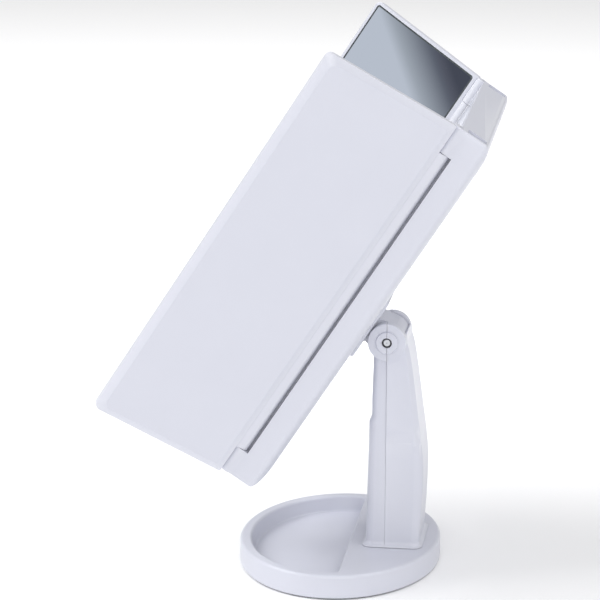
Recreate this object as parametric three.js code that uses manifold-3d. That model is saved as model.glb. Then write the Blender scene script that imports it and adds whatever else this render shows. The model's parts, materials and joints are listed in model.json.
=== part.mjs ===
// Trifold vanity mirror: oval tray base, two-part post, tilting lit centre panel and two folding wings.
// Millimetres, +Z up. The origin is the centre of the underside. The mirrors face -Y and +X is to
// the right of someone who stands behind the mirror looking along -Y, so the right wing is at +X.
import * as THREE from 'three';
import { mergeVertices } from 'three/addons/utils/BufferGeometryUtils.js';
import Module from 'manifold-3d';

const wasm = await Module();
wasm.setup();

// Clearances
const seatGap = 0.3;          // between pieces that rest on each other
const boreGap = 0.3;          // round a pin, bolt or screw in its hole

// How the mirror stands in use, in degrees
const tiltAtRest = 33.3;      // centre panel leaning back from upright
const wingOpenAtRest = 110;   // 0 is folded shut over the centre mirror

// Base
const baseLength = 155;
const baseDepth = 121.6;
const rimHeight = 15;
const rimWidth = 7;
const rimRound = 2;
const baseWall = 2.2;
const baseLift = 0.8;         // lower edge of the rim above the surface
const dividerY = 7.1;         // front edge of the plateau behind the tray
const trayFillet = 2.5;
const padThickness = 1.2;
const padInset = 6;
const padEdge = 0.4;
const baseFootRise = 1.4;     // the rim turns in this far at its lower edge
const baseFootInset = 1;
const bottomPlateThickness = 1.5;
const weightThickness = 5.5;
const weightInset = 9;
const baseScrewInset = 14.5;   // from the oval's edge
const baseScrewTurns = [32, 66]; // degrees round the oval from its long axis
const baseScrewLength = 9.5;

// Post
const pivotHeight = 140.5;
const pivotSetback = 29.5;
const postWall = 2.2;
const postCorner = 4.5;
const postFootHalf = 22.5;
const postNeckHalf = 18.2;
const postFootFront = 10.8;
const postStepFront = 9.9;
const postNeckFront = 8.3;
const postStepHeight = 93;
const postStepRise = 3;
const postFootBack = 19;
const postBendBack = 19.6;
const postBendHeight = 78;
const postShoulderBack = 17;
const postShoulderHeight = 105;
const postNeckBack = 11;
const postFootRound = 2;
const postBossX = 12;
const postBossFront = 5.4;
const postBossBack = 11;
const postBossHeight = 18;
const postBossSink = 0.5;     // screw bosses end this far above the post's lower edge

// Tilt pivot
const earRadius = 11.4;
const earFace = 19;
const earBossRadius = 7.2;    // raised disc on each ear, with a sloping edge
const earBossTopRadius = 6.2;
const earBossHeight = 0.5;
const armHalf = 12;
const armRadius = 7;          // round end of the arm about the bolt
const armRoot = 8.1;          // half height where the arm leaves its pad
const washerThickness = 0.8;
const washerRadius = 6.6;
const sleeveRadius = 2.85;
const sleeveLength = 2;
const sleeveGap = 0.2;        // inside and outside each sleeve
const boltRadius = 2.1;
const boltCollarRadius = 2.8;
const boltCollarLength = 1.6;
const boltThreadRadius = 1.4;
const nutCapThickness = 0.8;

// Bracket on the back of the centre panel
const bracketHalfWidth = 18;
const bracketHalfHeight = 20;
const bracketThickness = 4.2;
const bracketCorner = 3;
const bracketEdge = 1.2;
const bracketScrewX = 11;
const bracketScrewU = 16;

// Centre panel, measured from the pivot: x across, u up along it, n forward from its plane
const panelHalfWidth = 93;
const panelTop = 143.8;
const panelBottom = -96.8;
const panelBack = 16.4;
const panelFront = 37.7;
const panelCorner = 4;
const panelWall = 2.2;
const backEdgeWidth = 16;
const backEdgeDepth = 5.2;

// Wing hinges
const hingeInset = 4.2;
const barrelRadius = 3.8;
const barrelRoom = 1;         // between the wing's barrel and the trough's floor
const knuckleLength = 17.2;
const knuckleEdge = 0.8;
const pinRadius = 1.2;
const pinLength = 30;
const pinRecess = 1.6;

// Front bezel, centre mirror and lamps
const bezelBorder = 2;
const bezelCorner = 1.5;
const bezelFloor = 1.2;
const bezelRib = 1.6;
const bezelRibRise = 2;
const bezelRibPitch = 60;
const bezelRibInset = 8;
const glassThickness = 1.8;
const glassRecess = 0.1;
const lampWidth = 7;
const lampBoardThickness = 1.1;
const lampCount = 11;
const lampPitch = 19;
const lampSize = 3;
const lampHeight = 0.9;
const lampBoardEnd = 6;       // board beyond the last lamp
const lampSlotRoom = 0.6;
const glassCorner = 1;
const diffuserEdge = 0.3;
const touchRadius = 6;
const touchRise = 12;         // centre of the touch button above the mirror's lower edge

// Housing screws and bosses
const screwRadius = 1.5;
const screwHead = 2.7;
const screwHeadHeight = 1.9;
const screwLength = 12;
const bossRadius = 3.5;
const housingScrewX = 68;
const housingScrewEdge = 19.5;

// Battery compartment, AAA cells side by side
const cellRadius = 5.25;
const cellLength = 44.5;
const cellCount = 4;
const cellPitch = 11.2;
const cellBoxBottom = 62;
const cellBoxWall = 1.6;
const contactThickness = 0.5;
const contactHalfDepth = 4;
const springLength = 3.4;
const springTipRadius = 2.4;
const springRootRadius = 3.8;
const cellTipRadius = 2.6;
const cellTipHeight = 0.9;
const coverThickness = 2;
const coverLip = 2.4;
const coverEdge = 0.4;
const coverCorner = 1;
const gripHalfWidth = 7;
const gripHeight = 5;
const gripInset = 3.4;        // from the cover's free edge
const gripDepth = 0.7;

// Control board, socket and switch
const boardThickness = 1.2;
const boardStandoff = 6;
const boardHeight = 34;
const boardLeft = -14;
const boardRight = 60;
const boardPostInset = 6;
const chipHeight = 1.6;
const chips = [[0, 6, 8], [24, 4, 6], [48, 7, 5]]; // middle, half width and half height
const sensorRadius = 3.4;
const controlRise = 26;       // centre of the socket and the switch above the panel's lower edge
const socketX = 50;
const socketWidth = 7.6;
const socketHeight = 3;
const socketWall = 0.4;
const socketTongueHalf = 2;
const socketTongueThickness = 0.6;
const switchX = 32;
const switchKnobWidth = 3.4;
const switchKnobHeight = 5;
const switchTravel = 3;
const switchKnobProud = 1.3;
const switchKnobEdge = 0.5;
const switchBodyHalf = 4.4;
const switchBodyBelow = 6;
const switchBodyAbove = 8;

// Wings, measured from the hinge axis: a across the wing, b outwards through its thickness
const wingThickness = 7;
const wingLift = 0.3;         // wing rim in front of the hinge axis when shut
const wingEdge = 4.5;         // hinge axis to the wing's edge
const wingMeetGap = 0.4;      // free edge to the middle when shut
const wingCorner = 3.5;
const wingRimEdge = 0.4;
const wingBevelWidth = 4;
const wingBevelDepth = 2;
const wingBorder = 2;
const wingSkin = 2;
const wingRib = 1.6;
const wingRibRows = 4;
const tongueHeight = 4.4;
const pocketCorner = 1.5;
const magnifierBar = 3;
const magnifierRise = 120.3;  // middle of the bar above the wing's lower edge

// Finishes
const whitePlastic = { color: 0xdfe0ea, roughness: 0.38, metalness: 0 };
const greyPlastic = { color: 0xcfd0da, roughness: 0.5, metalness: 0 };
const mirrorGlass = { color: 0xc3c9d2, roughness: 0.04, metalness: 1 };
const frosted = { color: 0xf2f4f8, roughness: 0.55, metalness: 0 };
const steel = { color: 0xb9bcc2, roughness: 0.3, metalness: 1 };
const darkRubber = { color: 0x2b2c30, roughness: 0.85, metalness: 0 };
const circuitGreen = { color: 0x24573a, roughness: 0.6, metalness: 0 };
const cellJacket = { color: 0x3c4048, roughness: 0.45, metalness: 0.2 };
const blackPlastic = { color: 0x232427, roughness: 0.42, metalness: 0 };

// Solids

function solid(geometry) {
  const bare = geometry.clone();
  bare.deleteAttribute('normal');
  bare.deleteAttribute('uv');
  const merged = mergeVertices(bare, 1e-4);
  const place = merged.attributes.position.array;
  const kept = [];
  let volume = 0;
  for (let i = 0; i < merged.index.count; i += 3) {
    const [a, b, c] = [merged.index.getX(i), merged.index.getX(i + 1), merged.index.getX(i + 2)];
    if (a === b || b === c || c === a) continue;
    kept.push(a, b, c);
    const [p, q, r] = [a, b, c].map((k) => new THREE.Vector3().fromArray(place, 3 * k));
    volume += p.dot(q.cross(r));
  }
  if (volume < 0) kept.reverse();
  return new wasm.Manifold(new wasm.Mesh({
    numProp: 3,
    vertProperties: new Float32Array(place),
    triVerts: new Uint32Array(kept),
  }));
}

function geometryOf(shape) {
  const mesh = shape.getMesh();
  const geometry = new THREE.BufferGeometry();
  const places = new Float32Array(mesh.numVert * 3);
  for (let i = 0; i < mesh.numVert; i += 1) {
    for (let k = 0; k < 3; k += 1) places[3 * i + k] = mesh.vertProperties[i * mesh.numProp + k];
  }
  geometry.setAttribute('position', new THREE.BufferAttribute(places, 3));
  geometry.setIndex(Array.from(mesh.triVerts));
  geometry.computeVertexNormals();
  return geometry;
}

const joined = (shapes) => shapes.reduce((sum, shape) => sum.add(shape));
const cutBy = (shape, tools) => tools.reduce((left, tool) => left.subtract(tool), shape);

function part(parent, name, finish, shape) {
  const mesh = new THREE.Mesh(geometryOf(shape), new THREE.MeshStandardMaterial(finish));
  mesh.name = name;
  parent.add(mesh);
}

// Copies of one piece, numbered from 1
function copies(parent, name, finish, shapes) {
  shapes.forEach((shape, i) => part(parent, `${name}_${i + 1}`, finish, shape));
}

// A closed skin through rings of equal count, each ring counter-clockwise seen from the last one's side
function skin(rings) {
  const count = rings[0].length;
  const places = rings.flat().flatMap((p) => [p.x, p.y, p.z]);
  const faces = [];
  for (let k = 0; k + 1 < rings.length; k += 1) {
    for (let i = 0; i < count; i += 1) {
      const [a, b] = [k * count + i, k * count + (i + 1) % count];
      faces.push(a, b, b + count, a, b + count, a + count);
    }
  }
  const flat = rings[0].map((p) => new THREE.Vector2(p.x, p.y));
  const last = (rings.length - 1) * count;
  for (const [a, b, c] of THREE.ShapeUtils.triangulateShape(flat, [])) {
    faces.push(a, c, b, last + a, last + b, last + c);
  }
  const geometry = new THREE.BufferGeometry();
  geometry.setAttribute('position', new THREE.Float32BufferAttribute(places, 3));
  geometry.setIndex(faces);
  return geometry;
}

// An outline that shrinks or grows with height: levels are [height, inset]
const stack = (outline, levels) => skin(levels.map(([height, inset]) => (
  outline(inset).map((p) => new THREE.Vector3(p.x, p.y, height)))));

// The same, drawn across x and u, with its height along n
const panelStack = (outline, levels) => solid(stack(outline, levels).rotateX(Math.PI / 2));
const standStack = (outline, levels) => solid(stack(outline, levels));

function arc(cx, cy, rx, ry, from, to, steps) {
  return Array.from({ length: steps + 1 }, (_, i) => {
    const t = from + (to - from) * (i / steps);
    return new THREE.Vector2(cx + rx * Math.cos(t), cy + ry * Math.sin(t));
  });
}

const minCorner = 0.6;
const rectangle = (x0, y0, x1, y1, corner, steps = 3) => (inset) => {
  const r = Math.max(corner - inset, minCorner);
  const [left, low, right, high] = [x0 + inset + r, y0 + inset + r, x1 - inset - r, y1 - inset - r];
  const quarter = Math.PI / 2;
  return [
    ...arc(left, low, r, r, 2 * quarter, 3 * quarter, steps),
    ...arc(right, low, r, r, 3 * quarter, 4 * quarter, steps),
    ...arc(right, high, r, r, 0, quarter, steps),
    ...arc(left, high, r, r, quarter, 2 * quarter, steps),
  ];
};

const smallSides = 12;
const boreSides = 16;
const roundSides = 32;
const circle = (x, y, sides = smallSides) => (radius) => (
  arc(x, y, radius, radius, 0, 2 * Math.PI, sides).slice(0, sides));

function box(x0, y0, z0, x1, y1, z1) {
  const geometry = new THREE.BoxGeometry(x1 - x0, y1 - y0, z1 - z0);
  return solid(geometry.translate((x0 + x1) / 2, (y0 + y1) / 2, (z0 + z1) / 2));
}

// A box in the centre panel's own terms
const panelBox = (x0, x1, n0, n1, u0, u1) => box(x0, -n1, u0, x1, -n0, u1);

// Turned pieces: radii are given at heights along the axis
const turnedUp = (x, y, levels, sides) => solid(stack(circle(x, y, sides), levels));
const turnedForward = (x, u, levels, sides) => panelStack(circle(x, u, sides), levels);
const turnedAcross = (y, z, levels, sides) => (
  solid(stack(circle(0, 0, sides), levels).rotateY(Math.PI / 2).translate(0, y, z)));

const quarterTurn = (steps) => Array.from({ length: steps + 1 }, (_, i) => (Math.PI / 2) * (i / steps));

// Base

const padTop = padThickness;
const bottomPlateLow = padTop + seatGap;
const bottomPlateTop = bottomPlateLow + bottomPlateThickness;
const trayUnderside = bottomPlateTop + seatGap;
const trayFloor = trayUnderside + baseWall;
const plateauUnderside = rimHeight - baseWall;
const ovalSides = 56;

const oval = (inset) => (
  arc(0, 0, baseLength / 2 - inset, baseDepth / 2 - inset, 0, 2 * Math.PI, ovalSides).slice(0, ovalSides));

// The front part of the oval, closed by a straight edge at the plateau
const trayOutline = (inset) => {
  const [rx, ry] = [baseLength / 2 - inset, baseDepth / 2 - inset];
  const back = Math.asin((dividerY - (inset - rimWidth)) / ry);
  return arc(0, 0, rx, ry, Math.PI - back, 2 * Math.PI + back, 36);
};

// The part of the oval behind a straight front edge
const backOutline = (front) => (inset) => {
  const [rx, ry] = [baseLength / 2 - inset, baseDepth / 2 - inset];
  const start = Math.asin(front / ry);
  return arc(0, 0, rx, ry, start, Math.PI - start, 20);
};

const baseScrewPlaces = [-1, 1].flatMap((s) => baseScrewTurns.map((degrees) => {
  const turn = THREE.MathUtils.degToRad(degrees);
  const [rx, ry] = [baseLength / 2 - baseScrewInset, baseDepth / 2 - baseScrewInset];
  return [s * rx * Math.cos(turn), ry * Math.sin(turn)];
}));
const postScrewPlaces = [-1, 1].flatMap((s) => [
  [s * postBossX, pivotSetback - postBossFront], [s * postBossX, pivotSetback + postBossBack]]);

function addBase(stand) {
  const rimCurve = quarterTurn(2).map((t) => [
    rimHeight - rimRound + rimRound * Math.sin(t), rimRound * (1 - Math.cos(t))]);
  const outside = standStack(oval, [[baseLift, baseFootInset], [baseLift + baseFootRise, 0], ...rimCurve]);
  const floorCurve = quarterTurn(2).map((t) => [
    trayFloor + trayFillet * (1 - Math.cos(t)), rimWidth + trayFillet * (1 - Math.sin(t))]);
  const lipCurve = quarterTurn(2).map((t) => [
    rimHeight - rimRound + rimRound * Math.sin(t), rimWidth - rimRound * (1 - Math.cos(t))]);
  const recess = standStack(trayOutline, [
    ...floorCurve, ...lipCurve, [rimHeight + 1, rimWidth - rimRound]]);
  const underRoom = standStack(oval, [[0, baseWall], [plateauUnderside, baseWall]]);
  const trayInset = rimWidth - baseWall;
  const trayBody = standStack(trayOutline, [[trayUnderside, trayInset], [rimHeight, trayInset]]);
  const bosses = baseScrewPlaces.map(([x, y]) => (
    turnedUp(x, y, [[bottomPlateTop + seatGap, bossRadius], [plateauUnderside + 1, bossRadius]])));
  const screwBores = baseScrewPlaces.map(([x, y]) => (
    turnedUp(x, y, [[0, screwRadius + boreGap],
      [bottomPlateLow + baseScrewLength + 2 * boreGap, screwRadius + boreGap]])));
  const postHoles = postScrewPlaces.map(([x, y]) => (
    turnedUp(x, y, [[plateauUnderside - 1, screwRadius + boreGap], [rimHeight + 1, screwRadius + boreGap]])));
  const shell = cutBy(outside, [recess, cutBy(underRoom, [trayBody])]);
  part(stand, 'base_tray', whitePlastic, cutBy(joined([shell, ...bosses]), [...screwBores, ...postHoles]));

  const plateInset = baseWall + seatGap;
  const sinks = baseScrewPlaces.map(([x, y]) => turnedUp(x, y, [
    [padTop, screwHead + 2 * boreGap], [bottomPlateTop + seatGap, screwRadius + boreGap]]));
  const plate = standStack(oval, [[bottomPlateLow, plateInset], [bottomPlateTop, plateInset]]);
  part(stand, 'base_bottom_plate', greyPlastic, cutBy(plate, sinks));
  copies(stand, 'base_screw', steel, baseScrewPlaces.map(([x, y]) => turnedUp(x, y, [
    [bottomPlateLow, screwHead - boreGap], [bottomPlateTop, screwRadius],
    [bottomPlateLow + baseScrewLength, screwRadius]])));

  const pad = standStack(oval, [[0, padInset + padEdge], [padEdge, padInset], [padTop, padInset]]);
  part(stand, 'non_slip_pad', darkRubber, pad);

  const weightFront = dividerY + baseWall + seatGap;
  const weightLow = bottomPlateTop + seatGap;
  const weightTop = weightLow + weightThickness;
  const weight = standStack(backOutline(weightFront), [[weightLow, weightInset], [weightTop, weightInset]]);
  const bossHoles = baseScrewPlaces.map(([x, y]) => (
    turnedUp(x, y, [[0, bossRadius + seatGap], [rimHeight, bossRadius + seatGap]])));
  part(stand, 'base_weight', steel, cutBy(weight, bossHoles));
}

// Post

const postFoot = rimHeight + seatGap;
const saddleRadius = armRoot + 3 * seatGap;
const earInner = armHalf + washerThickness + 2 * seatGap;
const collarHigh = earFace - sleeveLength - seatGap;
const collarLow = collarHigh - boltCollarLength;

// The same turned piece about the bolt's line on the left and on the right; levels start at the middle
const turnedBoth = (levels, sides) => [-1, 1].map((s) => {
  const across = levels.map(([x, radius]) => [s * x, radius]);
  return turnedAcross(pivotSetback, pivotHeight, s < 0 ? across.reverse() : across, sides);
});

// Sections of the post from the foot up: height, depth forward and back of the pivot plane
function postSections() {
  return [
    [postFoot, postFootFront - postFootRound, postFootBack - postFootRound],
    [postFoot + postFootRound * 0.3, postFootFront - postFootRound * 0.3, postFootBack - postFootRound * 0.3],
    [postFoot + postFootRound, postFootFront, postFootBack],
    [postBendHeight, THREE.MathUtils.lerp(postFootFront, postStepFront, 0.8), postBendBack],
    [postStepHeight, postStepFront, THREE.MathUtils.lerp(postBendBack, postShoulderBack, 0.55)],
    [postStepHeight + postStepRise, postNeckFront, THREE.MathUtils.lerp(postBendBack, postShoulderBack, 0.7)],
    [postShoulderHeight, postNeckFront, postShoulderBack],
    [pivotHeight - saddleRadius, postNeckFront, THREE.MathUtils.lerp(postShoulderBack, postNeckBack, 0.55)],
    [pivotHeight, postNeckFront, postNeckBack],
  ];
}

function postRing([height, front, back], inset) {
  const rise = (height - postFoot) / (pivotHeight - postFoot);
  const foot = Math.max(0, 1 - (height - postFoot) / postFootRound) * postFootRound;
  const half = THREE.MathUtils.lerp(postFootHalf, postNeckHalf, rise) - foot * 0.8;
  const outline = rectangle(-half, pivotSetback - front, half, pivotSetback + back, postCorner);
  return outline(inset).map((p) => new THREE.Vector3(p.x, p.y, height));
}

function postBody() {
  const body = solid(skin(postSections().map((section) => postRing(section, 0))));
  const ears = turnedBoth([[earInner, earRadius], [earFace, earRadius]], roundSides);
  const bosses = turnedBoth([
    [earFace - seatGap, earBossRadius], [earFace, earBossRadius],
    [earFace + earBossHeight, earBossTopRadius]], roundSides);
  return joined([body, ...ears, ...bosses]);
}

function postRoom() {
  const ceiling = pivotHeight - saddleRadius - postWall;
  const inner = postSections().filter(([height]) => height > postFoot + postWall && height < ceiling);
  const low = [postFoot + postWall, postFootFront, postFootBack];
  const high = [ceiling, postNeckFront, THREE.MathUtils.lerp(postShoulderBack, postNeckBack, 0.5)];
  return solid(skin([low, ...inner, high].map((section) => postRing(section, postWall))));
}

function addPost(stand) {
  const saddle = [
    turnedAcross(pivotSetback, pivotHeight, [
      [-earInner, saddleRadius], [earInner, saddleRadius]], roundSides),
    box(-earInner, 0, pivotHeight - saddleRadius, earInner, pivotSetback, pivotHeight + 2 * earRadius),
    box(-earInner, 0, pivotHeight, earInner, pivotSetback + 2 * earRadius, pivotHeight + 2 * earRadius),
  ];
  const pockets = turnedBoth([
    [collarLow - seatGap, sleeveRadius + sleeveGap], [earFace + 1, sleeveRadius + sleeveGap]], boreSides);
  const bore = turnedAcross(pivotSetback, pivotHeight, [
    [-earFace, boltRadius + boreGap], [earFace, boltRadius + boreGap]], boreSides);
  const bosses = postScrewPlaces.map(([x, y]) => (
    turnedUp(x, y, [[postFoot + postBossSink, bossRadius], [postFoot + postBossHeight, bossRadius]])));
  const screwBores = postScrewPlaces.map(([x, y]) => (
    turnedUp(x, y, [[0, screwRadius + boreGap], [postFoot + postBossHeight - 1, screwRadius + boreGap]])));
  const shell = joined([cutBy(postBody(), [postRoom()]), ...bosses]);
  const whole = cutBy(shell, [...saddle, ...pockets, bore, ...screwBores]);
  const reach = 2 * pivotHeight;
  const split = seatGap / 2;
  const front = cutBy(whole, [box(-reach, pivotSetback - split, -reach, reach, reach, reach)]);
  const rear = cutBy(whole, [box(-reach, -reach, -reach, reach, pivotSetback + split, reach)]);
  part(stand, 'post_front_shell', whitePlastic, front);
  part(stand, 'post_rear_shell', whitePlastic, rear);

  const headTop = plateauUnderside - seatGap;
  copies(stand, 'post_screw', steel, postScrewPlaces.map(([x, y]) => turnedUp(x, y, [
    [headTop - screwHeadHeight, screwHead], [headTop, screwHead], [headTop, screwRadius],
    [headTop + screwLength, screwRadius]])));

  const eye = turnedAcross(pivotSetback, pivotHeight, [
    [-reach, boltRadius + sleeveGap], [reach, boltRadius + sleeveGap]], boreSides);
  const sleeves = turnedBoth([[earFace - sleeveLength, sleeveRadius], [earFace, sleeveRadius]], boreSides);
  const washers = turnedBoth([
    [armHalf + seatGap, washerRadius], [armHalf + seatGap + washerThickness, washerRadius]], 28);
  ['left', 'right'].forEach((side, i) => {
    part(stand, `pivot_bushing_${side}`, blackPlastic, cutBy(sleeves[i], [eye]));
    part(stand, `friction_washer_${side}`, steel, cutBy(washers[i], [bore]));
  });

  const threadEnd = nutCapThickness + seatGap - earFace;
  const bolt = turnedAcross(pivotSetback, pivotHeight, [
    [threadEnd, boltThreadRadius], [seatGap - collarLow, boltThreadRadius], [seatGap - collarLow, boltRadius],
    [collarLow, boltRadius], [collarLow, boltCollarRadius], [collarHigh, boltCollarRadius],
    [collarHigh, boltRadius], [earFace, boltRadius]], boreSides);
  part(stand, 'pivot_bolt', steel, bolt);
  const nut = turnedAcross(pivotSetback, pivotHeight, [
    [-collarHigh, boltCollarRadius], [-collarLow, boltCollarRadius]], 6);
  const nutCap = turnedAcross(pivotSetback, pivotHeight, [
    [-earFace, boltRadius], [seatGap - collarHigh, boltRadius]], boreSides);
  const nutBore = turnedAcross(pivotSetback, pivotHeight, [
    [nutCapThickness - earFace, boltThreadRadius + boreGap], [0, boltThreadRadius + boreGap]], boreSides);
  part(stand, 'pivot_nut', steel, cutBy(joined([nut, nutCap]), [nutBore]));
}

// Bracket that carries the centre panel

const bracketFront = panelBack - seatGap;
const bracketBack = bracketFront - bracketThickness;
const bracketScrewPlaces = [-1, 1].flatMap((s) => [-1, 1].map((t) => [s * bracketScrewX, t * bracketScrewU]));

function addBracket(head) {
  const padOutline = rectangle(
    -bracketHalfWidth, -bracketHalfHeight, bracketHalfWidth, bracketHalfHeight, bracketCorner);
  const pad = panelStack(padOutline, [
    [bracketBack, bracketEdge], [bracketBack + bracketEdge, 0], [bracketFront, 0]]);
  const root = new THREE.Vector2(-bracketBack - 1, armRoot);
  const tangent = root.angle() - Math.acos(armRadius / root.length());
  const armShape = new THREE.Shape();
  armShape.moveTo(root.x, -root.y);
  armShape.absarc(0, 0, armRadius, -tangent, tangent, false);
  armShape.lineTo(root.x, root.y);
  const armGeometry = new THREE.ExtrudeGeometry(armShape, {
    depth: 2 * armHalf, bevelEnabled: false, curveSegments: 14 });
  const [across, forward, up] = [[1, 0, 0], [0, 1, 0], [0, 0, 1]].map((v) => new THREE.Vector3(...v));
  armGeometry.translate(0, 0, -armHalf).applyMatrix4(new THREE.Matrix4().makeBasis(forward, up, across));
  const bore = turnedAcross(0, 0, [
    [-2 * armHalf, boltRadius + boreGap], [2 * armHalf, boltRadius + boreGap]], boreSides);
  const sinks = bracketScrewPlaces.map(([x, u]) => turnedForward(x, u, [
    [bracketBack - 1, screwHead + boreGap], [bracketBack + screwHeadHeight, screwHead + boreGap],
    [bracketBack + screwHeadHeight, screwRadius + boreGap], [panelBack, screwRadius + boreGap]]));
  part(head, 'pivot_bracket', whitePlastic, cutBy(joined([pad, solid(armGeometry)]), [bore, ...sinks]));
  copies(head, 'bracket_screw', steel, bracketScrewPlaces.map(([x, u]) => turnedForward(x, u, [
    [bracketBack + 0.2, screwHead - 0.5], [bracketBack + 0.6, screwHead],
    [bracketBack + screwHeadHeight - seatGap, screwHead],
    [bracketBack + screwHeadHeight - seatGap, screwRadius],
    [bracketBack + screwLength, screwRadius]])));
}

// Centre panel

const hingeX = panelHalfWidth - hingeInset;
const hingeN = panelFront + seatGap;
const barrelTop = panelTop - knuckleLength - seatGap;
const barrelBottom = panelBottom + knuckleLength + seatGap;
const knuckleRadius = hingeInset;
const troughFloor = hingeN - barrelRadius - barrelRoom;
const bezelHalf = hingeX - knuckleRadius - 2 * seatGap;
const bezelTop = panelTop - panelWall - seatGap;
const bezelBottom = panelBottom + panelWall + seatGap;
const glassFront = panelFront - glassRecess;
const glassBack = glassFront - glassThickness;
const pocketFloorN = glassBack - seatGap;
const bezelBack = pocketFloorN - bezelFloor;
const housingLedge = bezelBack - seatGap;
const housingScrewPlaces = [-1, 1].flatMap((s) => [
  [s * housingScrewX, panelBottom + housingScrewEdge], [s * housingScrewX, panelTop - housingScrewEdge]]);
const screwSeat = panelBack + panelWall + 1.4;
const wellTop = screwSeat + 1.8;

const cellRowHalf = (cellCount * cellPitch) / 2;
const cellBoxTop = cellBoxBottom + cellLength + springLength + 2 * contactThickness + 4 * seatGap;
const cellN = panelBack + coverThickness + 2 * seatGap + cellRadius;
const cellBoxFloor = cellN + cellRadius + seatGap;
const controlU = panelBottom + controlRise;
const boardN = panelBack + panelWall + boardStandoff;
const touchU = bezelBottom + bezelBorder + touchRise;

function addHousing(head) {
  const outline = rectangle(-panelHalfWidth, panelBottom, panelHalfWidth, panelTop, panelCorner);
  const backCurve = quarterTurn(4).reverse().map((t) => [
    panelBack + backEdgeDepth * (1 - Math.sin(t)), backEdgeWidth * (1 - Math.cos(t))]);
  const outside = panelStack(outline, [...backCurve, [panelFront, 0]]);
  const roomTop = troughFloor - panelWall;
  const lowRoom = panelStack(outline, [
    [panelBack + panelWall, backEdgeWidth * 0.75], [panelBack + panelWall + backEdgeDepth * 0.8, panelWall],
    [roomTop, panelWall]]);
  const frontHalf = bezelHalf + seatGap - panelWall;
  const highRoom = panelBox(-frontHalf, frontHalf, roomTop - 1, panelFront + 1,
    panelBottom + panelWall, panelTop - panelWall);
  const bezelSeat = panelBox(-bezelHalf - seatGap, bezelHalf + seatGap, housingLedge, panelFront + 1,
    bezelBottom - seatGap, bezelTop + seatGap);
  const knuckles = [-1, 1].flatMap((s) => [
    turnedUp(s * hingeX, -hingeN, [[panelBottom, knuckleRadius - knuckleEdge],
      [panelBottom + knuckleEdge, knuckleRadius], [barrelBottom - seatGap, knuckleRadius]], 24),
    turnedUp(s * hingeX, -hingeN, [[barrelTop + seatGap, knuckleRadius],
      [panelTop - knuckleEdge, knuckleRadius], [panelTop, knuckleRadius - knuckleEdge]], 24)]);
  const knuckleFeet = [-1, 1].flatMap((s) => [
    [panelBottom + knuckleEdge, barrelBottom - seatGap], [barrelTop + seatGap, panelTop - knuckleEdge]]
    .map(([low, high]) => box(s * hingeX - knuckleRadius, -hingeN, low,
      s * hingeX + knuckleRadius, -hingeN + knuckleRadius, high)));
  const trough = [-1, 1].map((s) => {
    const [inner, outer] = [s * (bezelHalf + seatGap), s * (panelHalfWidth + 1)];
    return panelBox(Math.min(inner, outer), Math.max(inner, outer), troughFloor, 2 * panelFront,
      barrelBottom - seatGap, barrelTop + seatGap);
  });
  const pinBores = [-1, 1].map((s) => turnedUp(s * hingeX, -hingeN, [
    [panelBottom - 1, pinRadius + boreGap], [panelTop + 1, pinRadius + boreGap]]));
  const wells = housingScrewPlaces.map(([x, u]) => (
    turnedForward(x, u, [[panelBack + 1, bossRadius + 1.4], [wellTop, bossRadius + 1.4]])));
  const wellBores = housingScrewPlaces.map(([x, u]) => turnedForward(x, u, [
    [panelBack - 1, screwHead + boreGap], [screwSeat, screwHead + boreGap],
    [screwSeat, screwRadius + boreGap], [wellTop + 1, screwRadius + boreGap]]));
  const bracketBosses = bracketScrewPlaces.map(([x, u]) => (
    turnedForward(x, u, [[panelBack + 1, bossRadius], [bracketBack + screwLength + 1, bossRadius]])));
  const bracketBores = bracketScrewPlaces.map(([x, u]) => (
    turnedForward(x, u, [[panelBack - 1, screwRadius + boreGap],
      [bracketBack + screwLength + 0.5, screwRadius + boreGap]])));
  const cellBox = panelBox(-cellRowHalf - cellBoxWall, cellRowHalf + cellBoxWall, panelBack + 1,
    cellBoxFloor + cellBoxWall, cellBoxBottom - cellBoxWall, cellBoxTop + cellBoxWall);
  const cellRoom = panelBox(-cellRowHalf, cellRowHalf, panelBack - 1, cellBoxFloor,
    cellBoxBottom, cellBoxTop);
  const coverSeat = panelStack(coverOutline(0), [
    [panelBack - 1, -seatGap], [panelBack + coverThickness + seatGap, -seatGap]]);
  const coverLand = panelStack(coverOutline(0), [
    [panelBack + 1, -cellBoxWall], [panelBack + coverThickness + seatGap + panelWall, -cellBoxWall]]);
  const boardPosts = [boardLeft + boardPostInset, boardRight - boardPostInset].map((x) => (
    turnedForward(x, controlU - 12, [[panelBack + 1, bossRadius], [boardN - seatGap, bossRadius]])));
  const socketHole = panelBox(socketX - socketWidth / 2 - seatGap, socketX + socketWidth / 2 + seatGap,
    panelBack - 1, panelBack + 2 * panelWall,
    controlU - socketHeight / 2 - seatGap, controlU + socketHeight / 2 + seatGap);
  const switchSide = switchKnobWidth / 2 + seatGap;
  const switchHole = panelBox(switchX - switchSide, switchX + switchSide,
    panelBack - 1, panelBack + 2 * panelWall,
    controlU - switchKnobHeight / 2 - seatGap, controlU + switchKnobHeight / 2 + switchTravel + seatGap);
  const shell = cutBy(outside, [lowRoom, highRoom]);
  const solids = [shell, ...wells, ...bracketBosses, cellBox, coverLand, ...boardPosts];
  const cuts = [
    bezelSeat, ...trough, ...wellBores, ...bracketBores, cellRoom, coverSeat, socketHole, switchHole];
  part(head, 'rear_housing', whitePlastic, cutBy(
    joined([cutBy(joined(solids), cuts), ...knuckles, ...knuckleFeet]), pinBores));

  copies(head, 'housing_screw', steel, housingScrewPlaces.map(([x, u]) => turnedForward(x, u, [
    [screwSeat - seatGap - screwHeadHeight, screwHead], [screwSeat - seatGap, screwHead],
    [screwSeat - seatGap, screwRadius], [screwSeat + screwLength, screwRadius]])));

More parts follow.
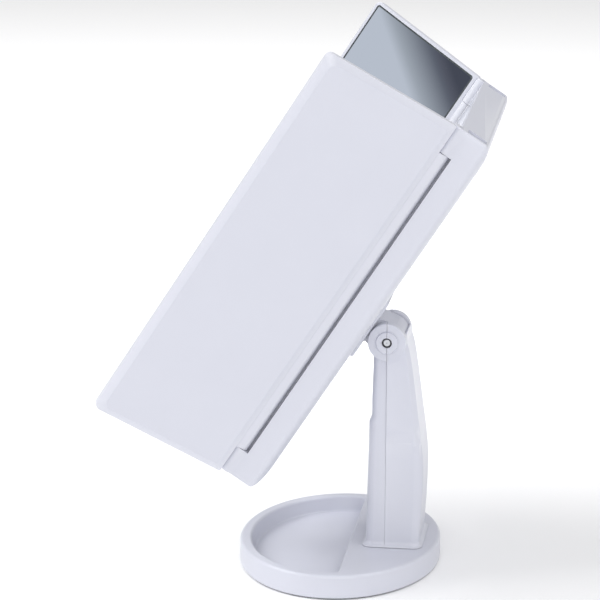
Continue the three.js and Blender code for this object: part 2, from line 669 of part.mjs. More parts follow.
  for (const [s, side] of [[-1, 'left'], [1, 'right']]) {
    const pinTops = { upper: panelTop - pinRecess, lower: panelBottom + pinRecess + pinLength };
    for (const [level, high] of Object.entries(pinTops)) {
      part(head, `hinge_pin_${side}_${level}`, steel, turnedUp(s * hingeX, -hingeN, [
        [high - pinLength, pinRadius], [high, pinRadius]]));
    }
  }
}

// Front of the centre panel

const lampX = bezelHalf - bezelBorder - lampWidth / 2;
const mirrorHalf = bezelHalf - bezelBorder - lampWidth - seatGap;
const lampMiddle = (bezelTop + bezelBottom) / 2;
const lampRun = (lampCount - 1) * lampPitch;

function addFront(head) {
  const outline = rectangle(-bezelHalf, bezelBottom, bezelHalf, bezelTop, bezelCorner);
  const plate = panelStack(outline, [[bezelBack, 0], [panelFront - 0.4, 0], [panelFront, 0.4]]);
  const pocket = panelStack(outline, [[pocketFloorN, bezelBorder], [panelFront + 1, bezelBorder]]);
  const slots = [-1, 1].map((s) => panelBox(
    s * lampX - lampSize / 2 - lampSlotRoom, s * lampX + lampSize / 2 + lampSlotRoom,
    bezelBack - 1, panelFront, lampMiddle - lampRun / 2 - lampSize, lampMiddle + lampRun / 2 + lampSize));
  const bosses = housingScrewPlaces.map(([x, u]) => (
    turnedForward(x, u, [[wellTop + seatGap, bossRadius], [bezelBack + 0.5, bossRadius]])));
  const bossBores = housingScrewPlaces.map(([x, u]) => turnedForward(x, u, [
    [wellTop, screwRadius + boreGap], [screwSeat + screwLength + 0.5, screwRadius + boreGap]]));
  const sensorHole = turnedForward(0, touchU, [
    [bezelBack - 1, touchRadius], [panelFront, touchRadius]]);
  const ribs = [-1, 0, 1].map((k) => panelBox(bezelRibInset - mirrorHalf, mirrorHalf - bezelRibInset,
    bezelBack - bezelRibRise, bezelBack + 0.5,
    lampMiddle + k * bezelRibPitch - bezelRib / 2, lampMiddle + k * bezelRibPitch + bezelRib / 2));
  const body = joined([cutBy(plate, [pocket, ...slots]), ...bosses, ...ribs]);
  part(head, 'front_bezel', whitePlastic, cutBy(body, [...bossBores, sensorHole]));

  const glassLow = bezelBottom + bezelBorder + seatGap;
  const glassHigh = bezelTop - bezelBorder - seatGap;
  const glass = panelStack(rectangle(-mirrorHalf, glassLow, mirrorHalf, glassHigh, glassCorner), [
    [glassBack, 0], [glassFront, 0]]);
  const touchHole = turnedForward(0, touchU, [
    [glassBack - 1, touchRadius + seatGap], [glassFront + 1, touchRadius + seatGap]], 32);
  part(head, 'centre_mirror', mirrorGlass, cutBy(glass, [touchHole]));
  part(head, 'touch_button', frosted, turnedForward(0, touchU, [
    [glassBack, touchRadius], [glassFront - diffuserEdge, touchRadius],
    [glassFront, touchRadius - diffuserEdge]], 32));

  for (const [s, side] of [[-1, 'left'], [1, 'right']]) {
    const x0 = s * lampX - lampWidth / 2 + seatGap;
    const x1 = s * lampX + lampWidth / 2 - seatGap;
    part(head, `led_diffuser_${side}`, frosted, panelStack(
      rectangle(x0, glassLow, x1, glassHigh, glassCorner, 2),
      [[glassBack, 0], [glassFront - diffuserEdge, 0], [glassFront, diffuserEdge]]));
    const boardFront = bezelBack - seatGap;
    const board = panelBox(x0, x1, boardFront - lampBoardThickness, boardFront,
      lampMiddle - lampRun / 2 - lampBoardEnd, lampMiddle + lampRun / 2 + lampBoardEnd);
    const lamps = Array.from({ length: lampCount }, (_, i) => {
      const u = lampMiddle - lampRun / 2 + i * lampPitch;
      return panelBox(s * lampX - lampSize / 2, s * lampX + lampSize / 2, boardFront - 0.2,
        boardFront + lampHeight, u - lampSize / 2, u + lampSize / 2);
    });
    part(head, `led_board_${side}`, circuitGreen, joined([board, ...lamps]));
  }
}

// Electrics on the back of the centre panel

function coverOutline(corner) {
  return rectangle(-cellRowHalf - coverLip, cellBoxBottom - coverLip, cellRowHalf + coverLip,
    cellBoxTop + coverLip, corner);
}

function addElectrics(head) {
  const board = panelBox(boardLeft, boardRight, boardN, boardN + boardThickness,
    controlU - boardHeight / 2, controlU + boardHeight / 2);
  const chipBodies = chips.map(([x, w, h]) => panelBox(x - w, x + w,
    boardN + boardThickness - 0.2, boardN + boardThickness + chipHeight, controlU - h, controlU + h));
  const sensor = turnedForward(0, touchU, [
    [boardN + seatGap, sensorRadius], [glassBack - seatGap, sensorRadius]]);
  const switchBody = panelBox(switchX - switchBodyHalf, switchX + switchBodyHalf,
    panelBack + panelWall + 2 * seatGap + 1, boardN + seatGap,
    controlU - switchBodyBelow, controlU + switchBodyAbove);
  part(head, 'control_board', circuitGreen, joined([board, ...chipBodies, sensor, switchBody]));

  const [halfWidth, halfHeight] = [socketWidth / 2, socketHeight / 2];
  const can = panelBox(socketX - halfWidth, socketX + halfWidth, panelBack + seatGap, boardN - seatGap,
    controlU - halfHeight, controlU + halfHeight);
  const mouth = panelBox(socketX - halfWidth + socketWall, socketX + halfWidth - socketWall,
    panelBack, boardN - 1.5, controlU - halfHeight + socketWall, controlU + halfHeight - socketWall);
  const tongue = panelBox(socketX - socketTongueHalf, socketX + socketTongueHalf, panelBack + 1, boardN - 1,
    controlU - socketTongueThickness / 2, controlU + socketTongueThickness / 2);
  part(head, 'usb_socket', steel, joined([cutBy(can, [mouth]), tongue]));

  const knobShape = rectangle(switchX - switchKnobWidth / 2, controlU - switchKnobHeight / 2,
    switchX + switchKnobWidth / 2, controlU + switchKnobHeight / 2, 0.8, 2);
  part(head, 'power_switch_knob', blackPlastic, panelStack(knobShape, [
    [panelBack - switchKnobProud, switchKnobEdge], [panelBack - switchKnobProud + switchKnobEdge, 0],
    [panelBack + panelWall + seatGap, 0]]));

  const cells = [];
  const springs = { upper: [], lower: [] };
  for (let i = 0; i < cellCount; i += 1) {
    const x = (i - (cellCount - 1) / 2) * cellPitch;
    const turned = i % 2 === 1;
    const flatEnd = cellBoxBottom + contactThickness + 2 * seatGap;
    const springEnd = cellBoxTop - contactThickness - 2 * seatGap;
    const rise = (u) => (turned ? cellBoxBottom + cellBoxTop - u : u);
    const cellLevels = [[flatEnd, cellTipRadius], [flatEnd + cellTipHeight, cellTipRadius],
      [flatEnd + cellTipHeight, cellRadius], [flatEnd + cellLength, cellRadius]]
      .map(([u, r]) => [rise(u), r]);
    const springLevels = [
      [flatEnd + cellLength + seatGap, springTipRadius], [springEnd + seatGap, springRootRadius]]
      .map(([u, r]) => [rise(u), r]);
    const inOrder = (levels) => (turned ? levels.reverse() : levels);
    cells.push(turnedUp(x, -cellN, inOrder(cellLevels), 24));
    springs[turned ? 'lower' : 'upper'].push(turnedUp(x, -cellN, inOrder(springLevels), 12));
  }
  copies(head, 'aaa_battery', cellJacket, cells);
  const stripHalf = cellRowHalf - seatGap;
  const stripLow = { lower: cellBoxBottom + seatGap, upper: cellBoxTop - seatGap - contactThickness };
  for (const [end, low] of Object.entries(stripLow)) {
    const strip = panelBox(-stripHalf, stripHalf, cellN - contactHalfDepth, cellN + contactHalfDepth,
      low, low + contactThickness);
    part(head, `battery_contact_${end}`, steel, joined([strip, ...springs[end]]));
  }

  const coverBack = panelStack(coverOutline(coverCorner), [
    [panelBack, coverEdge], [panelBack + coverEdge, 0], [panelBack + coverThickness, 0]]);
  const gripTop = cellBoxTop + coverLip - gripInset;
  const gripOutline = rectangle(
    -gripHalfWidth, gripTop - gripHeight, gripHalfWidth, gripTop, gripHeight / 2);
  const grip = panelStack(gripOutline, [[panelBack - 1, 0], [panelBack + gripDepth, gripDepth]]);
  part(head, 'battery_cover', whitePlastic, cutBy(coverBack, [grip]));
}

// Wings

const wingReach = hingeX - wingMeetGap;
const wingPocketFloor = wingLift + glassRecess + glassThickness + seatGap;
const wingBorderHinge = wingBorder + 0.5;

function addWing(head, s, side) {
  const wing = new THREE.Group();
  wing.position.set(s * hingeX, -hingeN, 0);
  wing.rotation.z = s * THREE.MathUtils.degToRad(wingOpenAtRest);
  head.add(wing);

  const span = (near, far, low, high, corner, steps) => (
    rectangle(Math.min(-s * near, -s * far), low, Math.max(-s * near, -s * far), high, corner, steps));
  const outline = span(wingEdge, wingReach, panelBottom, panelTop, wingCorner);
  const face = wingLift + wingThickness;
  const plate = panelStack(outline, [
    [wingLift, wingRimEdge], [wingLift + wingRimEdge, 0],
    [face - wingBevelDepth, 0], [face, wingBevelWidth]]);
  const [glassNear, glassFar] = [wingEdge + wingBorderHinge, wingReach - wingBorder];
  const [glassLow, glassHigh] = [panelBottom + wingBorder, panelTop - wingBorder];
  const pocket = panelStack(span(glassNear, glassFar, glassLow, glassHigh, pocketCorner), [
    [wingLift - 1, 0], [wingPocketFloor, 0]]);
  const roomInset = wingBevelWidth - wingBorder + 1;
  const room = panelStack(span(glassNear, glassFar, glassLow, glassHigh, pocketCorner), [
    [wingPocketFloor - 0.5, roomInset], [face - wingSkin, roomInset]]);
  const middle = -s * (glassNear + glassFar) / 2;
  const ribs = [
    panelBox(middle - wingRib / 2, middle + wingRib / 2, wingPocketFloor, face - 1, glassLow, glassHigh)];
  for (let row = 1; row < wingRibRows; row += 1) {
    const u = THREE.MathUtils.lerp(panelBottom, panelTop, row / wingRibRows);
    ribs.push(panelBox(Math.min(-s * glassNear, -s * glassFar), Math.max(-s * glassNear, -s * glassFar),
      wingPocketFloor, face - 1, u - wingRib / 2, u + wingRib / 2));
  }
  const tongue = new THREE.Shape();
  tongue.moveTo(-s * (wingEdge + 1), -wingLift);
  tongue.lineTo(-s * barrelRadius, -wingLift);
  for (const p of arc(0, 0, barrelRadius, barrelRadius, 0, 1.5 * Math.PI, 24)) tongue.lineTo(-s * p.x, p.y);
  tongue.lineTo(-s * (wingEdge + 1), -tongueHeight);
  const barrelDepth = barrelTop - barrelBottom;
  const barrel = solid(new THREE.ExtrudeGeometry(tongue, { depth: barrelDepth, bevelEnabled: false })
    .translate(0, 0, barrelBottom));
  const pinBores = [[barrelBottom - 1, panelBottom + pinRecess + pinLength + 1],
    [panelTop - pinRecess - pinLength - 1, barrelTop + 1]].map(([low, high]) => (
    turnedUp(0, 0, [[low, pinRadius + boreGap], [high, pinRadius + boreGap]])));
  const hollowPlate = joined([cutBy(plate, [pocket, cutBy(room, ribs)]), barrel]);
  part(wing, `${side}_wing_shell`, whitePlastic, cutBy(hollowPlate, pinBores));

  const glass = (low, high) => panelStack(
    span(glassNear + seatGap, glassFar - seatGap, low, high, glassCorner),
    [[wingLift + glassRecess, 0], [wingLift + glassRecess + glassThickness, 0]]);
  if (side === 'left') {
    part(wing, 'left_wing_mirror', mirrorGlass, glass(glassLow + seatGap, glassHigh - seatGap));
    return;
  }
  const split = panelBottom + magnifierRise;
  const barHalf = magnifierBar / 2;
  part(wing, 'right_wing_mirror_lower', mirrorGlass, glass(glassLow + seatGap, split - barHalf - seatGap));
  part(wing, 'right_wing_mirror_upper', mirrorGlass, glass(split + barHalf + seatGap, glassHigh - seatGap));
  part(wing, 'magnifier_bar', whitePlastic, panelStack(span(glassNear + seatGap, glassFar - seatGap,
    split - barHalf, split + barHalf, minCorner, 2), [
    [wingLift, 0], [wingLift + glassRecess + glassThickness, 0]]));
}

// The whole mirror

function trifoldMirror() {
  const mirror = new THREE.Group();
  addBase(mirror);
  addPost(mirror);
  const head = new THREE.Group();
  head.position.set(0, pivotSetback, pivotHeight);
  head.rotation.x = -THREE.MathUtils.degToRad(tiltAtRest);
  mirror.add(head);
  addBracket(head);
  addHousing(head);
  addFront(head);
  addElectrics(head);
  addWing(head, -1, 'left');
  addWing(head, 1, 'right');
  return mirror;
}

export default trifoldMirror();
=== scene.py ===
# Trifold vanity mirror: oval tray base, two-part post, lit centre panel and two folding wings.
# Metres. The origin is the centre of the underside, the mirrors face -Y, and the near wing is at +X.
import json
import math

import bmesh
import bpy
from mathutils import Matrix, Vector


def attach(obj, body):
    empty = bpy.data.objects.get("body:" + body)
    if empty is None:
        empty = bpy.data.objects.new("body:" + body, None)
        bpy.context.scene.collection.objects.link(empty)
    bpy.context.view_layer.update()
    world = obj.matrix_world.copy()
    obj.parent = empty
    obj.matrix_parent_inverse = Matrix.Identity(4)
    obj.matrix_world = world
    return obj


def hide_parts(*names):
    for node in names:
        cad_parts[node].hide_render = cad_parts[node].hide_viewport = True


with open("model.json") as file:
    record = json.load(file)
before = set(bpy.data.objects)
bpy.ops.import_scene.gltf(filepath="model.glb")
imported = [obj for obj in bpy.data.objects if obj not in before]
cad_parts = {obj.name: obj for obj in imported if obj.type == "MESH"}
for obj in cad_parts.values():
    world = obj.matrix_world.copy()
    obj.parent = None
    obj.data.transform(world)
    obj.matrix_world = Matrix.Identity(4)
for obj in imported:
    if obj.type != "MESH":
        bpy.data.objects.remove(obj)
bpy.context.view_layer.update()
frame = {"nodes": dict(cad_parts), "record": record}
millimetre = 0.001
print("frame loaded:", len(frame["nodes"]), "nodes")

# Camera, at the photograph's angle

cameraSettings = {
    # millimetres and degrees, but metres for the clipping
    "target": (0.0, -25.0, 160.2), "azimuth": 98.22, "elevation": 13.58, "distance": 1406.2,
    "lens": 140.97, "sensor": 36.0, "clipStart": 0.05, "clipEnd": 50.0,
}


def towards(azimuth, elevation):
    # 0 is -Y, where the mirrors face, and 90 is +X
    turn, lift = math.radians(azimuth), math.radians(elevation)
    return Vector((math.sin(turn) * math.cos(lift), -math.cos(turn) * math.cos(lift), math.sin(lift)))


def addToScene(name, data):
    made = bpy.data.objects.new(name, data)
    bpy.context.scene.collection.objects.link(made)
    return made


def makeCamera(s):
    back = towards(s["azimuth"], s["elevation"])
    data = bpy.data.cameras.new("camera")
    data.lens, data.sensor_width = s["lens"], s["sensor"]
    data.clip_start, data.clip_end = s["clipStart"], s["clipEnd"]
    camera = addToScene("camera", data)
    camera.location = (Vector(s["target"]) + back * s["distance"]) * millimetre
    camera.rotation_euler = (-back).to_track_quat("-Z", "Y").to_euler()
    bpy.context.scene.camera = camera


makeCamera(cameraSettings)

# Materials: shared effects are node groups, each shader stands in its own material


def newGroup(name, inputs, outputs):
    group = bpy.data.node_groups.new(name, "ShaderNodeTree")
    for socket, value in inputs.items():
        kind = "NodeSocketColor" if isinstance(value, tuple) else "NodeSocketFloat"
        group.interface.new_socket(name=socket, in_out="INPUT", socket_type=kind).default_value = value
    for socket, kind in outputs.items():
        group.interface.new_socket(name=socket, in_out="OUTPUT", socket_type=kind)
    return group, group.nodes.new("NodeGroupInput"), group.nodes.new("NodeGroupOutput")


def setInputs(node, values):
    for socket, value in values.items():
        node.inputs[socket].default_value = value


def newNode(tree, kind, values=None, **options):
    # options are the node's own settings, values those of its sockets
    node = tree.nodes.new("ShaderNode" + kind)
    for option, value in options.items():
        setattr(node, option, value)
    setInputs(node, values or {})
    return node


def linkAll(tree, *rows):
    # each row: a node and its output, another node and its input
    for source, output, target, socket in rows:
        tree.links.new(source.outputs[output], target.inputs[socket])


def objectNoise(group, source, detail, stretch=(1, 1, 1)):
    # noise on object coordinates, its scale taken from the group's own
    place = newNode(group, "TexCoord")
    mapping = newNode(group, "Mapping", {"Scale": stretch})
    noise = newNode(group, "TexNoise", {"Detail": detail})
    linkAll(group, (place, "Object", mapping, "Vector"), (mapping, "Vector", noise, "Vector"),
            (source, "Scale", noise, "Scale"))
    return noise


def spreadOut(group, noise, source, low, high):
    # the noise's middle values spread between two of the group's inputs
    spread = newNode(group, "MapRange", {"From Min": 0.3, "From Max": 0.7})
    linkAll(group, (noise, "Fac", spread, "Value"), (source, low, spread, "To Min"),
            (source, high, spread, "To Max"))
    return spread


def makeMouldedTone():
    # the faint cloudiness of moulded plastic: two tones and a roughness that drifts
    group, source, result = newGroup("mouldedTone", {
        "Colour": (0.7, 0.7, 0.7, 1), "Shade": (0.6, 0.6, 0.6, 1), "Scale": 30.0,
        "Roughness Low": 0.3, "Roughness High": 0.4,
    }, {"Colour": "NodeSocketColor", "Roughness": "NodeSocketFloat"})
    cloud = objectNoise(group, source, 4.0)
    blend = newNode(group, "Mix", data_type="RGBA")
    rough = spreadOut(group, cloud, source, "Roughness Low", "Roughness High")
    linkAll(group, (cloud, "Fac", blend, "Factor"), (source, "Colour", blend, "A"),
            (source, "Shade", blend, "B"), (blend, "Result", result, "Colour"),
            (rough, "Result", result, "Roughness"))
    return group


def makeFineGrain():
    # the spark-eroded texture of a mould, as bump
    group, source, result = newGroup("fineGrain", {"Scale": 2500.0, "Strength": 0.1},
                                     {"Normal": "NodeSocketVector"})
    grain = objectNoise(group, source, 3.0)
    bump = newNode(group, "Bump", {"Distance": 0.00005})
    linkAll(group, (source, "Strength", bump, "Strength"), (grain, "Fac", bump, "Height"),
            (bump, "Normal", result, "Normal"))
    return group


def makePaintedEdgeHighlight():
    # painted highlight: convex edges a little lighter, standing in for the light that catches them
    group, source, result = newGroup("paintedEdgeHighlight", {
        "Colour": (0.7, 0.7, 0.7, 1), "Edge": (0.8, 0.8, 0.8, 1)}, {"Colour": "NodeSocketColor"})
    shape = newNode(group, "NewGeometry")
    spread = newNode(group, "MapRange", {"From Min": 0.52, "From Max": 0.62})
    blend = newNode(group, "Mix", data_type="RGBA")
    linkAll(group, (shape, "Pointiness", spread, "Value"), (spread, "Result", blend, "Factor"),
            (source, "Colour", blend, "A"), (source, "Edge", blend, "B"),
            (blend, "Result", result, "Colour"))
    return group


def makeHandMarks():
    # wiped smears on glass, as a roughness
    group, source, result = newGroup("handMarks", {"Scale": 14.0, "Clean": 0.01, "Smeared": 0.05},
                                     {"Roughness": "NodeSocketFloat"})
    smear = objectNoise(group, source, 5.0, (1.0, 1.0, 2.6))
    rough = spreadOut(group, smear, source, "Clean", "Smeared")
    linkAll(group, (rough, "Result", result, "Roughness"))
    return group


mouldedTone = makeMouldedTone()
fineGrain = makeFineGrain()
paintedEdgeHighlight = makePaintedEdgeHighlight()
handMarks = makeHandMarks()


def newMaterial(name, values):
    made = bpy.data.materials.new(name)
    made.use_nodes = True
    surface = made.node_tree.nodes["Principled BSDF"]
    setInputs(surface, values)
    return made, made.node_tree, surface


finishSettings = {
    # name, colour, shade, cloud scale, roughness low and high, grain scale and strength, painted edge
    # highlight colour, and the shader's own values
    "white_plastic": ("whiteAbs", (0.617, 0.628, 0.700, 1), (0.592, 0.603, 0.676, 1), 26, 0.30, 0.38,
                      (3200, 0.10), (0.68, 0.69, 0.75, 1), {"IOR": 1.49}),
    "grey_plastic": ("greyAbs", (0.56, 0.57, 0.61, 1), (0.52, 0.53, 0.57, 1), 30, 0.44, 0.56,
                     (2600, 0.25), (0.62, 0.63, 0.67, 1), {"IOR": 1.49}),
    "black_plastic": ("blackAcetal", (0.022, 0.022, 0.026, 1), (0.015, 0.015, 0.018, 1), 60, 0.34, 0.46,
                      (3600, 0.15), (0.05, 0.05, 0.055, 1), {"IOR": 1.49}),
    "black_rubber": ("foamRubber", (0.028, 0.028, 0.031, 1), (0.017, 0.017, 0.019, 1), 90, 0.82, 0.94,
                     (1700, 0.7), (0.05, 0.05, 0.053, 1), {"IOR": 1.49}),
    "frosted_acrylic": ("frostedAcrylic", (0.86, 0.87, 0.9, 1), (0.83, 0.84, 0.87, 1), 40, 0.42, 0.55,
                        (4200, 0.3), None, {"IOR": 1.49, "Subsurface Weight": 0.35,
                                            "Subsurface Scale": 0.002, "Subsurface Radius": (1, 1, 1)}),
    "steel": ("zincSteel", (0.62, 0.63, 0.66, 1), (0.5, 0.51, 0.54, 1), 160, 0.2, 0.36,
              (1800, 0.2), None, {"Metallic": 1.0}),
    "circuit_board": ("solderMask", (0.012, 0.13, 0.05, 1), (0.01, 0.1, 0.04, 1), 90, 0.28, 0.4,
                      None, None, {"IOR": 1.5, "Coat Roughness": 0.2}),
    "battery_jacket": ("cellJacket", (0.05, 0.055, 0.07, 1), (0.035, 0.04, 0.05, 1), 70, 0.3, 0.4,
                       (900, 0.08), None, {"IOR": 1.5, "Coat Weight": 0.4, "Coat Roughness": 0.15}),
}
# the cut and ground rim of mirror glass, dark partly where the backing paint shows and partly as a painted
# reflection of the shaded frame wall beside it
groundEdgeShadeSettings = ("groundGlassEdgePaintedReflection", (0.09, 0.105, 0.11, 1), (0.05, 0.062, 0.066, 1), 120, 0.22, 0.4,
                  None, None, {"IOR": 1.52})


def makeFinish(name, colour, shade, cloudScale, low, high, grain, edge, values):
    made, tree, surface = newMaterial(name, values)
    tone = newNode(tree, "Group", {
        "Colour": colour, "Shade": shade, "Scale": cloudScale, "Roughness Low": low, "Roughness High": high,
    }, node_tree=mouldedTone)
    linkAll(tree, (tone, "Colour", surface, "Base Color"), (tone, "Roughness", surface, "Roughness"))
    # convex edges lightened: a painted highlight
    if edge:
        highlighted = newNode(tree, "Group", {"Edge": edge}, node_tree=paintedEdgeHighlight)
        linkAll(tree, (tone, "Colour", highlighted, "Colour"), (highlighted, "Colour", surface, "Base Color"))
    if grain:
        fine = newNode(tree, "Group", {"Scale": grain[0], "Strength": grain[1]}, node_tree=fineGrain)
        linkAll(tree, (fine, "Normal", surface, "Normal"))
    return made


def makeMirrorGlass():
    made, tree, surface = newMaterial("silveredGlass", {
        "Base Color": (0.86, 0.885, 0.9, 1), "Metallic": 1.0})
    marks = newNode(tree, "Group", {"Scale": 16.0, "Clean": 0.012, "Smeared": 0.035}, node_tree=handMarks)
    linkAll(tree, (marks, "Roughness", surface, "Roughness"))
    return made


def addCopperRuns(finish):
    # paler copper runs under the board's green mask
    tree = finish.node_tree
    tone, surface = tree.nodes["Group"], tree.nodes["Principled BSDF"]
    where = newNode(tree, "TexCoord")
    runs = newNode(tree, "TexBrick", {"Scale": 160.0, "Mortar Size": 0.03, "Color1": (0, 0, 0, 1),
                                      "Color2": (0, 0, 0, 1), "Mortar": (1, 1, 1, 1)})
    blend = newNode(tree, "Mix", {"B": (0.03, 0.22, 0.09, 1)}, data_type="RGBA")
    bump = newNode(tree, "Bump", {"Strength": 0.3, "Distance": 0.00005})
    linkAll(tree, (where, "Object", runs, "Vector"), (runs, "Color", blend, "Factor"),
            (tone, "Colour", blend, "A"), (blend, "Result", surface, "Base Color"),
            (runs, "Color", bump, "Height"), (bump, "Normal", surface, "Normal"))


finishes = {slot: makeFinish(*row) for slot, row in finishSettings.items()}
finishes["mirror_glass"] = makeMirrorGlass()
addCopperRuns(finishes["circuit_board"])
groundEdgeWithPaintedReflection = makeFinish(*groundEdgeShadeSettings)
slotOfNode = {row["node"]: row["material_slot"] for row in frame["record"]["subparts"]}
for name, node in frame["nodes"].items():
    finish = finishes[slotOfNode[name]]
    if not node.material_slots:
        node.data.materials.append(finish)
    for slot in node.material_slots:
        slot.link = "OBJECT"
        slot.material = finish
print("materials ready:", len(finishes), "finishes")

# Places: pieces are made in millimetres, in the stand's, the centre panel's or a wing's own terms.
# In the panel's and wings' terms x is across, -y forward of the mirror's back, z up along it.

leanBack = 33.3
wingOpen = 110.0
pivot = Vector((0, 29.5, 140.5))
hinge = Vector((88.8, -38.0, 0))
standPlace = Matrix.Scale(millimetre, 4)
headPlace = (standPlace @ Matrix.Translation(pivot)
             @ Matrix.Rotation(math.radians(-leanBack), 4, "X"))


def wingPlace(side):
    return (headPlace @ Matrix.Translation((side * hinge.x, hinge.y, hinge.z))
            @ Matrix.Rotation(side * math.radians(wingOpen), 4, "Z"))


places = {"stand": standPlace, "head": headPlace, "battery_cover": headPlace, "power_switch": headPlace,
          "left_wing": wingPlace(-1), "right_wing": wingPlace(1)}

# Shapes and joints between them

lap = 0.5  # how far shapes that are joined overlap
past = 1.0  # how far a cutting shape reaches past the surface that it opens


def moved(bm, shift):
    bmesh.ops.translate(bm, vec=shift, verts=bm.verts)
    return bm


def block(x0, x1, y0, y1, z0, z1):
    bm = bmesh.new()
    bmesh.ops.create_cube(bm, size=1.0)
    bmesh.ops.scale(bm, vec=(x1 - x0, y1 - y0, z1 - z0), verts=bm.verts)
    return moved(bm, ((x0 + x1) / 2, (y0 + y1) / 2, (z0 + z1) / 2))


def panelBlock(x0, x1, n0, n1, z0, z1):
    # n is measured forwards
    return block(x0, x1, -n1, -n0, z0, z1)


turnTo = {
    "x": Matrix(((0, 0, 1, 0), (1, 0, 0, 0), (0, 1, 0, 0), (0, 0, 0, 1))),
    "y": Matrix(((0, 1, 0, 0), (0, 0, 1, 0), (1, 0, 0, 0), (0, 0, 0, 1))),
    "z": Matrix.Identity(4),
}


def rod(radius, length, axis, start, endRadius=None, segments=64):
    # a round bar from start along an axis
    bm = bmesh.new()
    bmesh.ops.create_cone(bm, cap_ends=True, segments=segments, radius1=radius,
                          radius2=radius if endRadius is None else endRadius, depth=length)
    moved(bm, (0, 0, length / 2))
    bm.transform(turnTo[axis])
    return moved(bm, start)


def axle(radius, start, length, endRadius=None, segments=64):
    # a round bar on the tilt pivot's axis, in the stand's terms
    return rod(radius, length, "x", (start, pivot.y, pivot.z), endRadius, segments)


def roundEdges(bm, edges, radius, segments=4):
    bmesh.ops.bevel(bm, geom=list(edges), offset=radius, offset_type="OFFSET", segments=segments,
                    profile=0.5, affect="EDGES", clamp_overlap=False, material=-1)
    return bm


def edgesAlong(bm, axis):
    # edges that run along one axis: 0, 1 or 2
    found = []
    for edge in bm.edges:
        run = edge.verts[1].co - edge.verts[0].co
        if abs(run[axis]) > 0.999 * run.length:
            found.append(edge)
    return found


def edgesOn(bm, axis, level):
    # edges that lie on a plane across one axis
    return [edge for edge in bm.edges if all(abs(v.co[axis] - level) < 1e-4 for v in edge.verts)]


def rimRounded(bm, axis, level, radius, segments):
    return roundEdges(bm, edgesOn(bm, axis, level), radius, segments)


def sharperThan(edges, angle):
    # the angle in radians
    return [edge for edge in edges if edge.calc_face_angle(0) > angle]


def faceTowards(bm, direction):
    return max(bm.faces, key=lambda face: (face.normal.dot(Vector(direction)) > 0.99)
               * (1000 + face.calc_center_median().dot(Vector(direction))))


def pushed(bm, face, shift, keep=False):
    # the face is extruded by a shift; keep leaves the first face as the other end
    grown = bmesh.ops.extrude_face_region(bm, geom=[face])["geom"]
    bmesh.ops.translate(bm, vec=shift, verts=[g for g in grown if isinstance(g, bmesh.types.BMVert)])
    if not keep:
        bmesh.ops.delete(bm, geom=[face], context="FACES_ONLY")
    return next(g for g in grown if isinstance(g, bmesh.types.BMFace))


def placed(bm, verts, axis, low, high):
    # vertices are scaled and moved along one axis so that they reach from low to high
    old = [v.co[axis] for v in verts]
    size, middle, shift = Vector((1, 1, 1)), Vector(), Vector()
    size[axis] = (high - low) / (max(old) - min(old))
    middle[axis] = (max(old) + min(old)) / 2
    shift[axis] = (low + high) / 2 - middle[axis]
    bmesh.ops.scale(bm, vec=size, verts=verts, space=Matrix.Translation(-middle))
    bmesh.ops.translate(bm, vec=shift, verts=verts)


def squareSheet(level=0.0, half=1.0):
    bm = bmesh.new()
    bmesh.ops.create_grid(bm, x_segments=1, y_segments=1, size=half)
    return moved(bm, (0, 0, level))


def ovalSheet(halfX, halfY, level, segments):
    bm = bmesh.new()
    bmesh.ops.create_circle(bm, cap_ends=True, segments=segments, radius=1.0)
    bmesh.ops.scale(bm, vec=(halfX, halfY, 1), verts=bm.verts)
    return moved(bm, (0, 0, level))


upright = Matrix(((1, 0, 0, 0), (0, 0, -1, 0), (0, 1, 0, 0), (0, 0, 0, 1)))


def stacked(x0, x1, z0, z1, levels, corner=0.0, inner=0.0):
    # a panel-like block built forwards: at each level its outline is moved in by an inset. inner rounds
    # the corners that lie nearer to the panel's middle, where they differ.
    bm = squareSheet(levels[0][0])
    cap = next(iter(bm.faces))
    for count, (level, inset) in enumerate(levels):
        if count:
            cap = pushed(bm, cap, (0, 0, level - cap.calc_center_median().z), keep=count == 1)
        placed(bm, cap.verts[:], 0, x0 + inset, x1 - inset)
        placed(bm, cap.verts[:], 1, z0 + inset, z1 - inset)
    bm.transform(upright)
    facedOut(bm)
    middle = abs(x0 + x1) / 2
    for radius, nearer, segments in ((corner, False, 6), (inner, True, 4)):
        if radius:
            chain = [e for e in bm.edges if abs(e.verts[0].co.y - e.verts[1].co.y) > 1e-5
                     and nearer == (inner > 0 and all(abs(v.co.x) < middle for v in e.verts))]
            roundEdges(bm, chain, radius, segments)
    return bm


def backEdged(back, front, edge):
    # levels of a plate whose back edge is chamfered
    return [(back, edge), (back + edge, 0), (front, 0)]


def frontEdged(back, front, edge):
    return [(back, 0), (front - edge, 0), (front, edge)]


def mirrored(bm):
    other = bm.copy()
    bmesh.ops.scale(other, vec=(-1, 1, 1), verts=other.verts)
    bmesh.ops.reverse_faces(other, faces=other.faces)
    return other


def bothSides(bm):
    return [bm, mirrored(bm)]


def fourSpots(x, low, high):
    return [(-x, low), (-x, high), (x, low), (x, high)]


def beyondCut(bm, point, away):
    # what lies beyond a plane is cut off
    bmesh.ops.bisect_plane(bm, geom=bm.verts[:] + bm.edges[:] + bm.faces[:], plane_co=point, plane_no=away,
                           clear_outer=True)
    return bm


def keptSide(bm, point, away):
    # what lies beyond a plane is cut off and the cut closed
    beyondCut(bm, point, away)
    bmesh.ops.holes_fill(bm, edges=[e for e in bm.edges if e.is_boundary])
    return bm


def facedOut(bm):
    bmesh.ops.recalc_face_normals(bm, faces=bm.faces)
    if bm.calc_volume(signed=True) < 0:
        bmesh.ops.reverse_faces(bm, faces=bm.faces)
    return bm


def meshOf(bm, name):
    mesh = bpy.data.meshes.new(name)
    bm.to_mesh(mesh)
    bm.free()
    return mesh


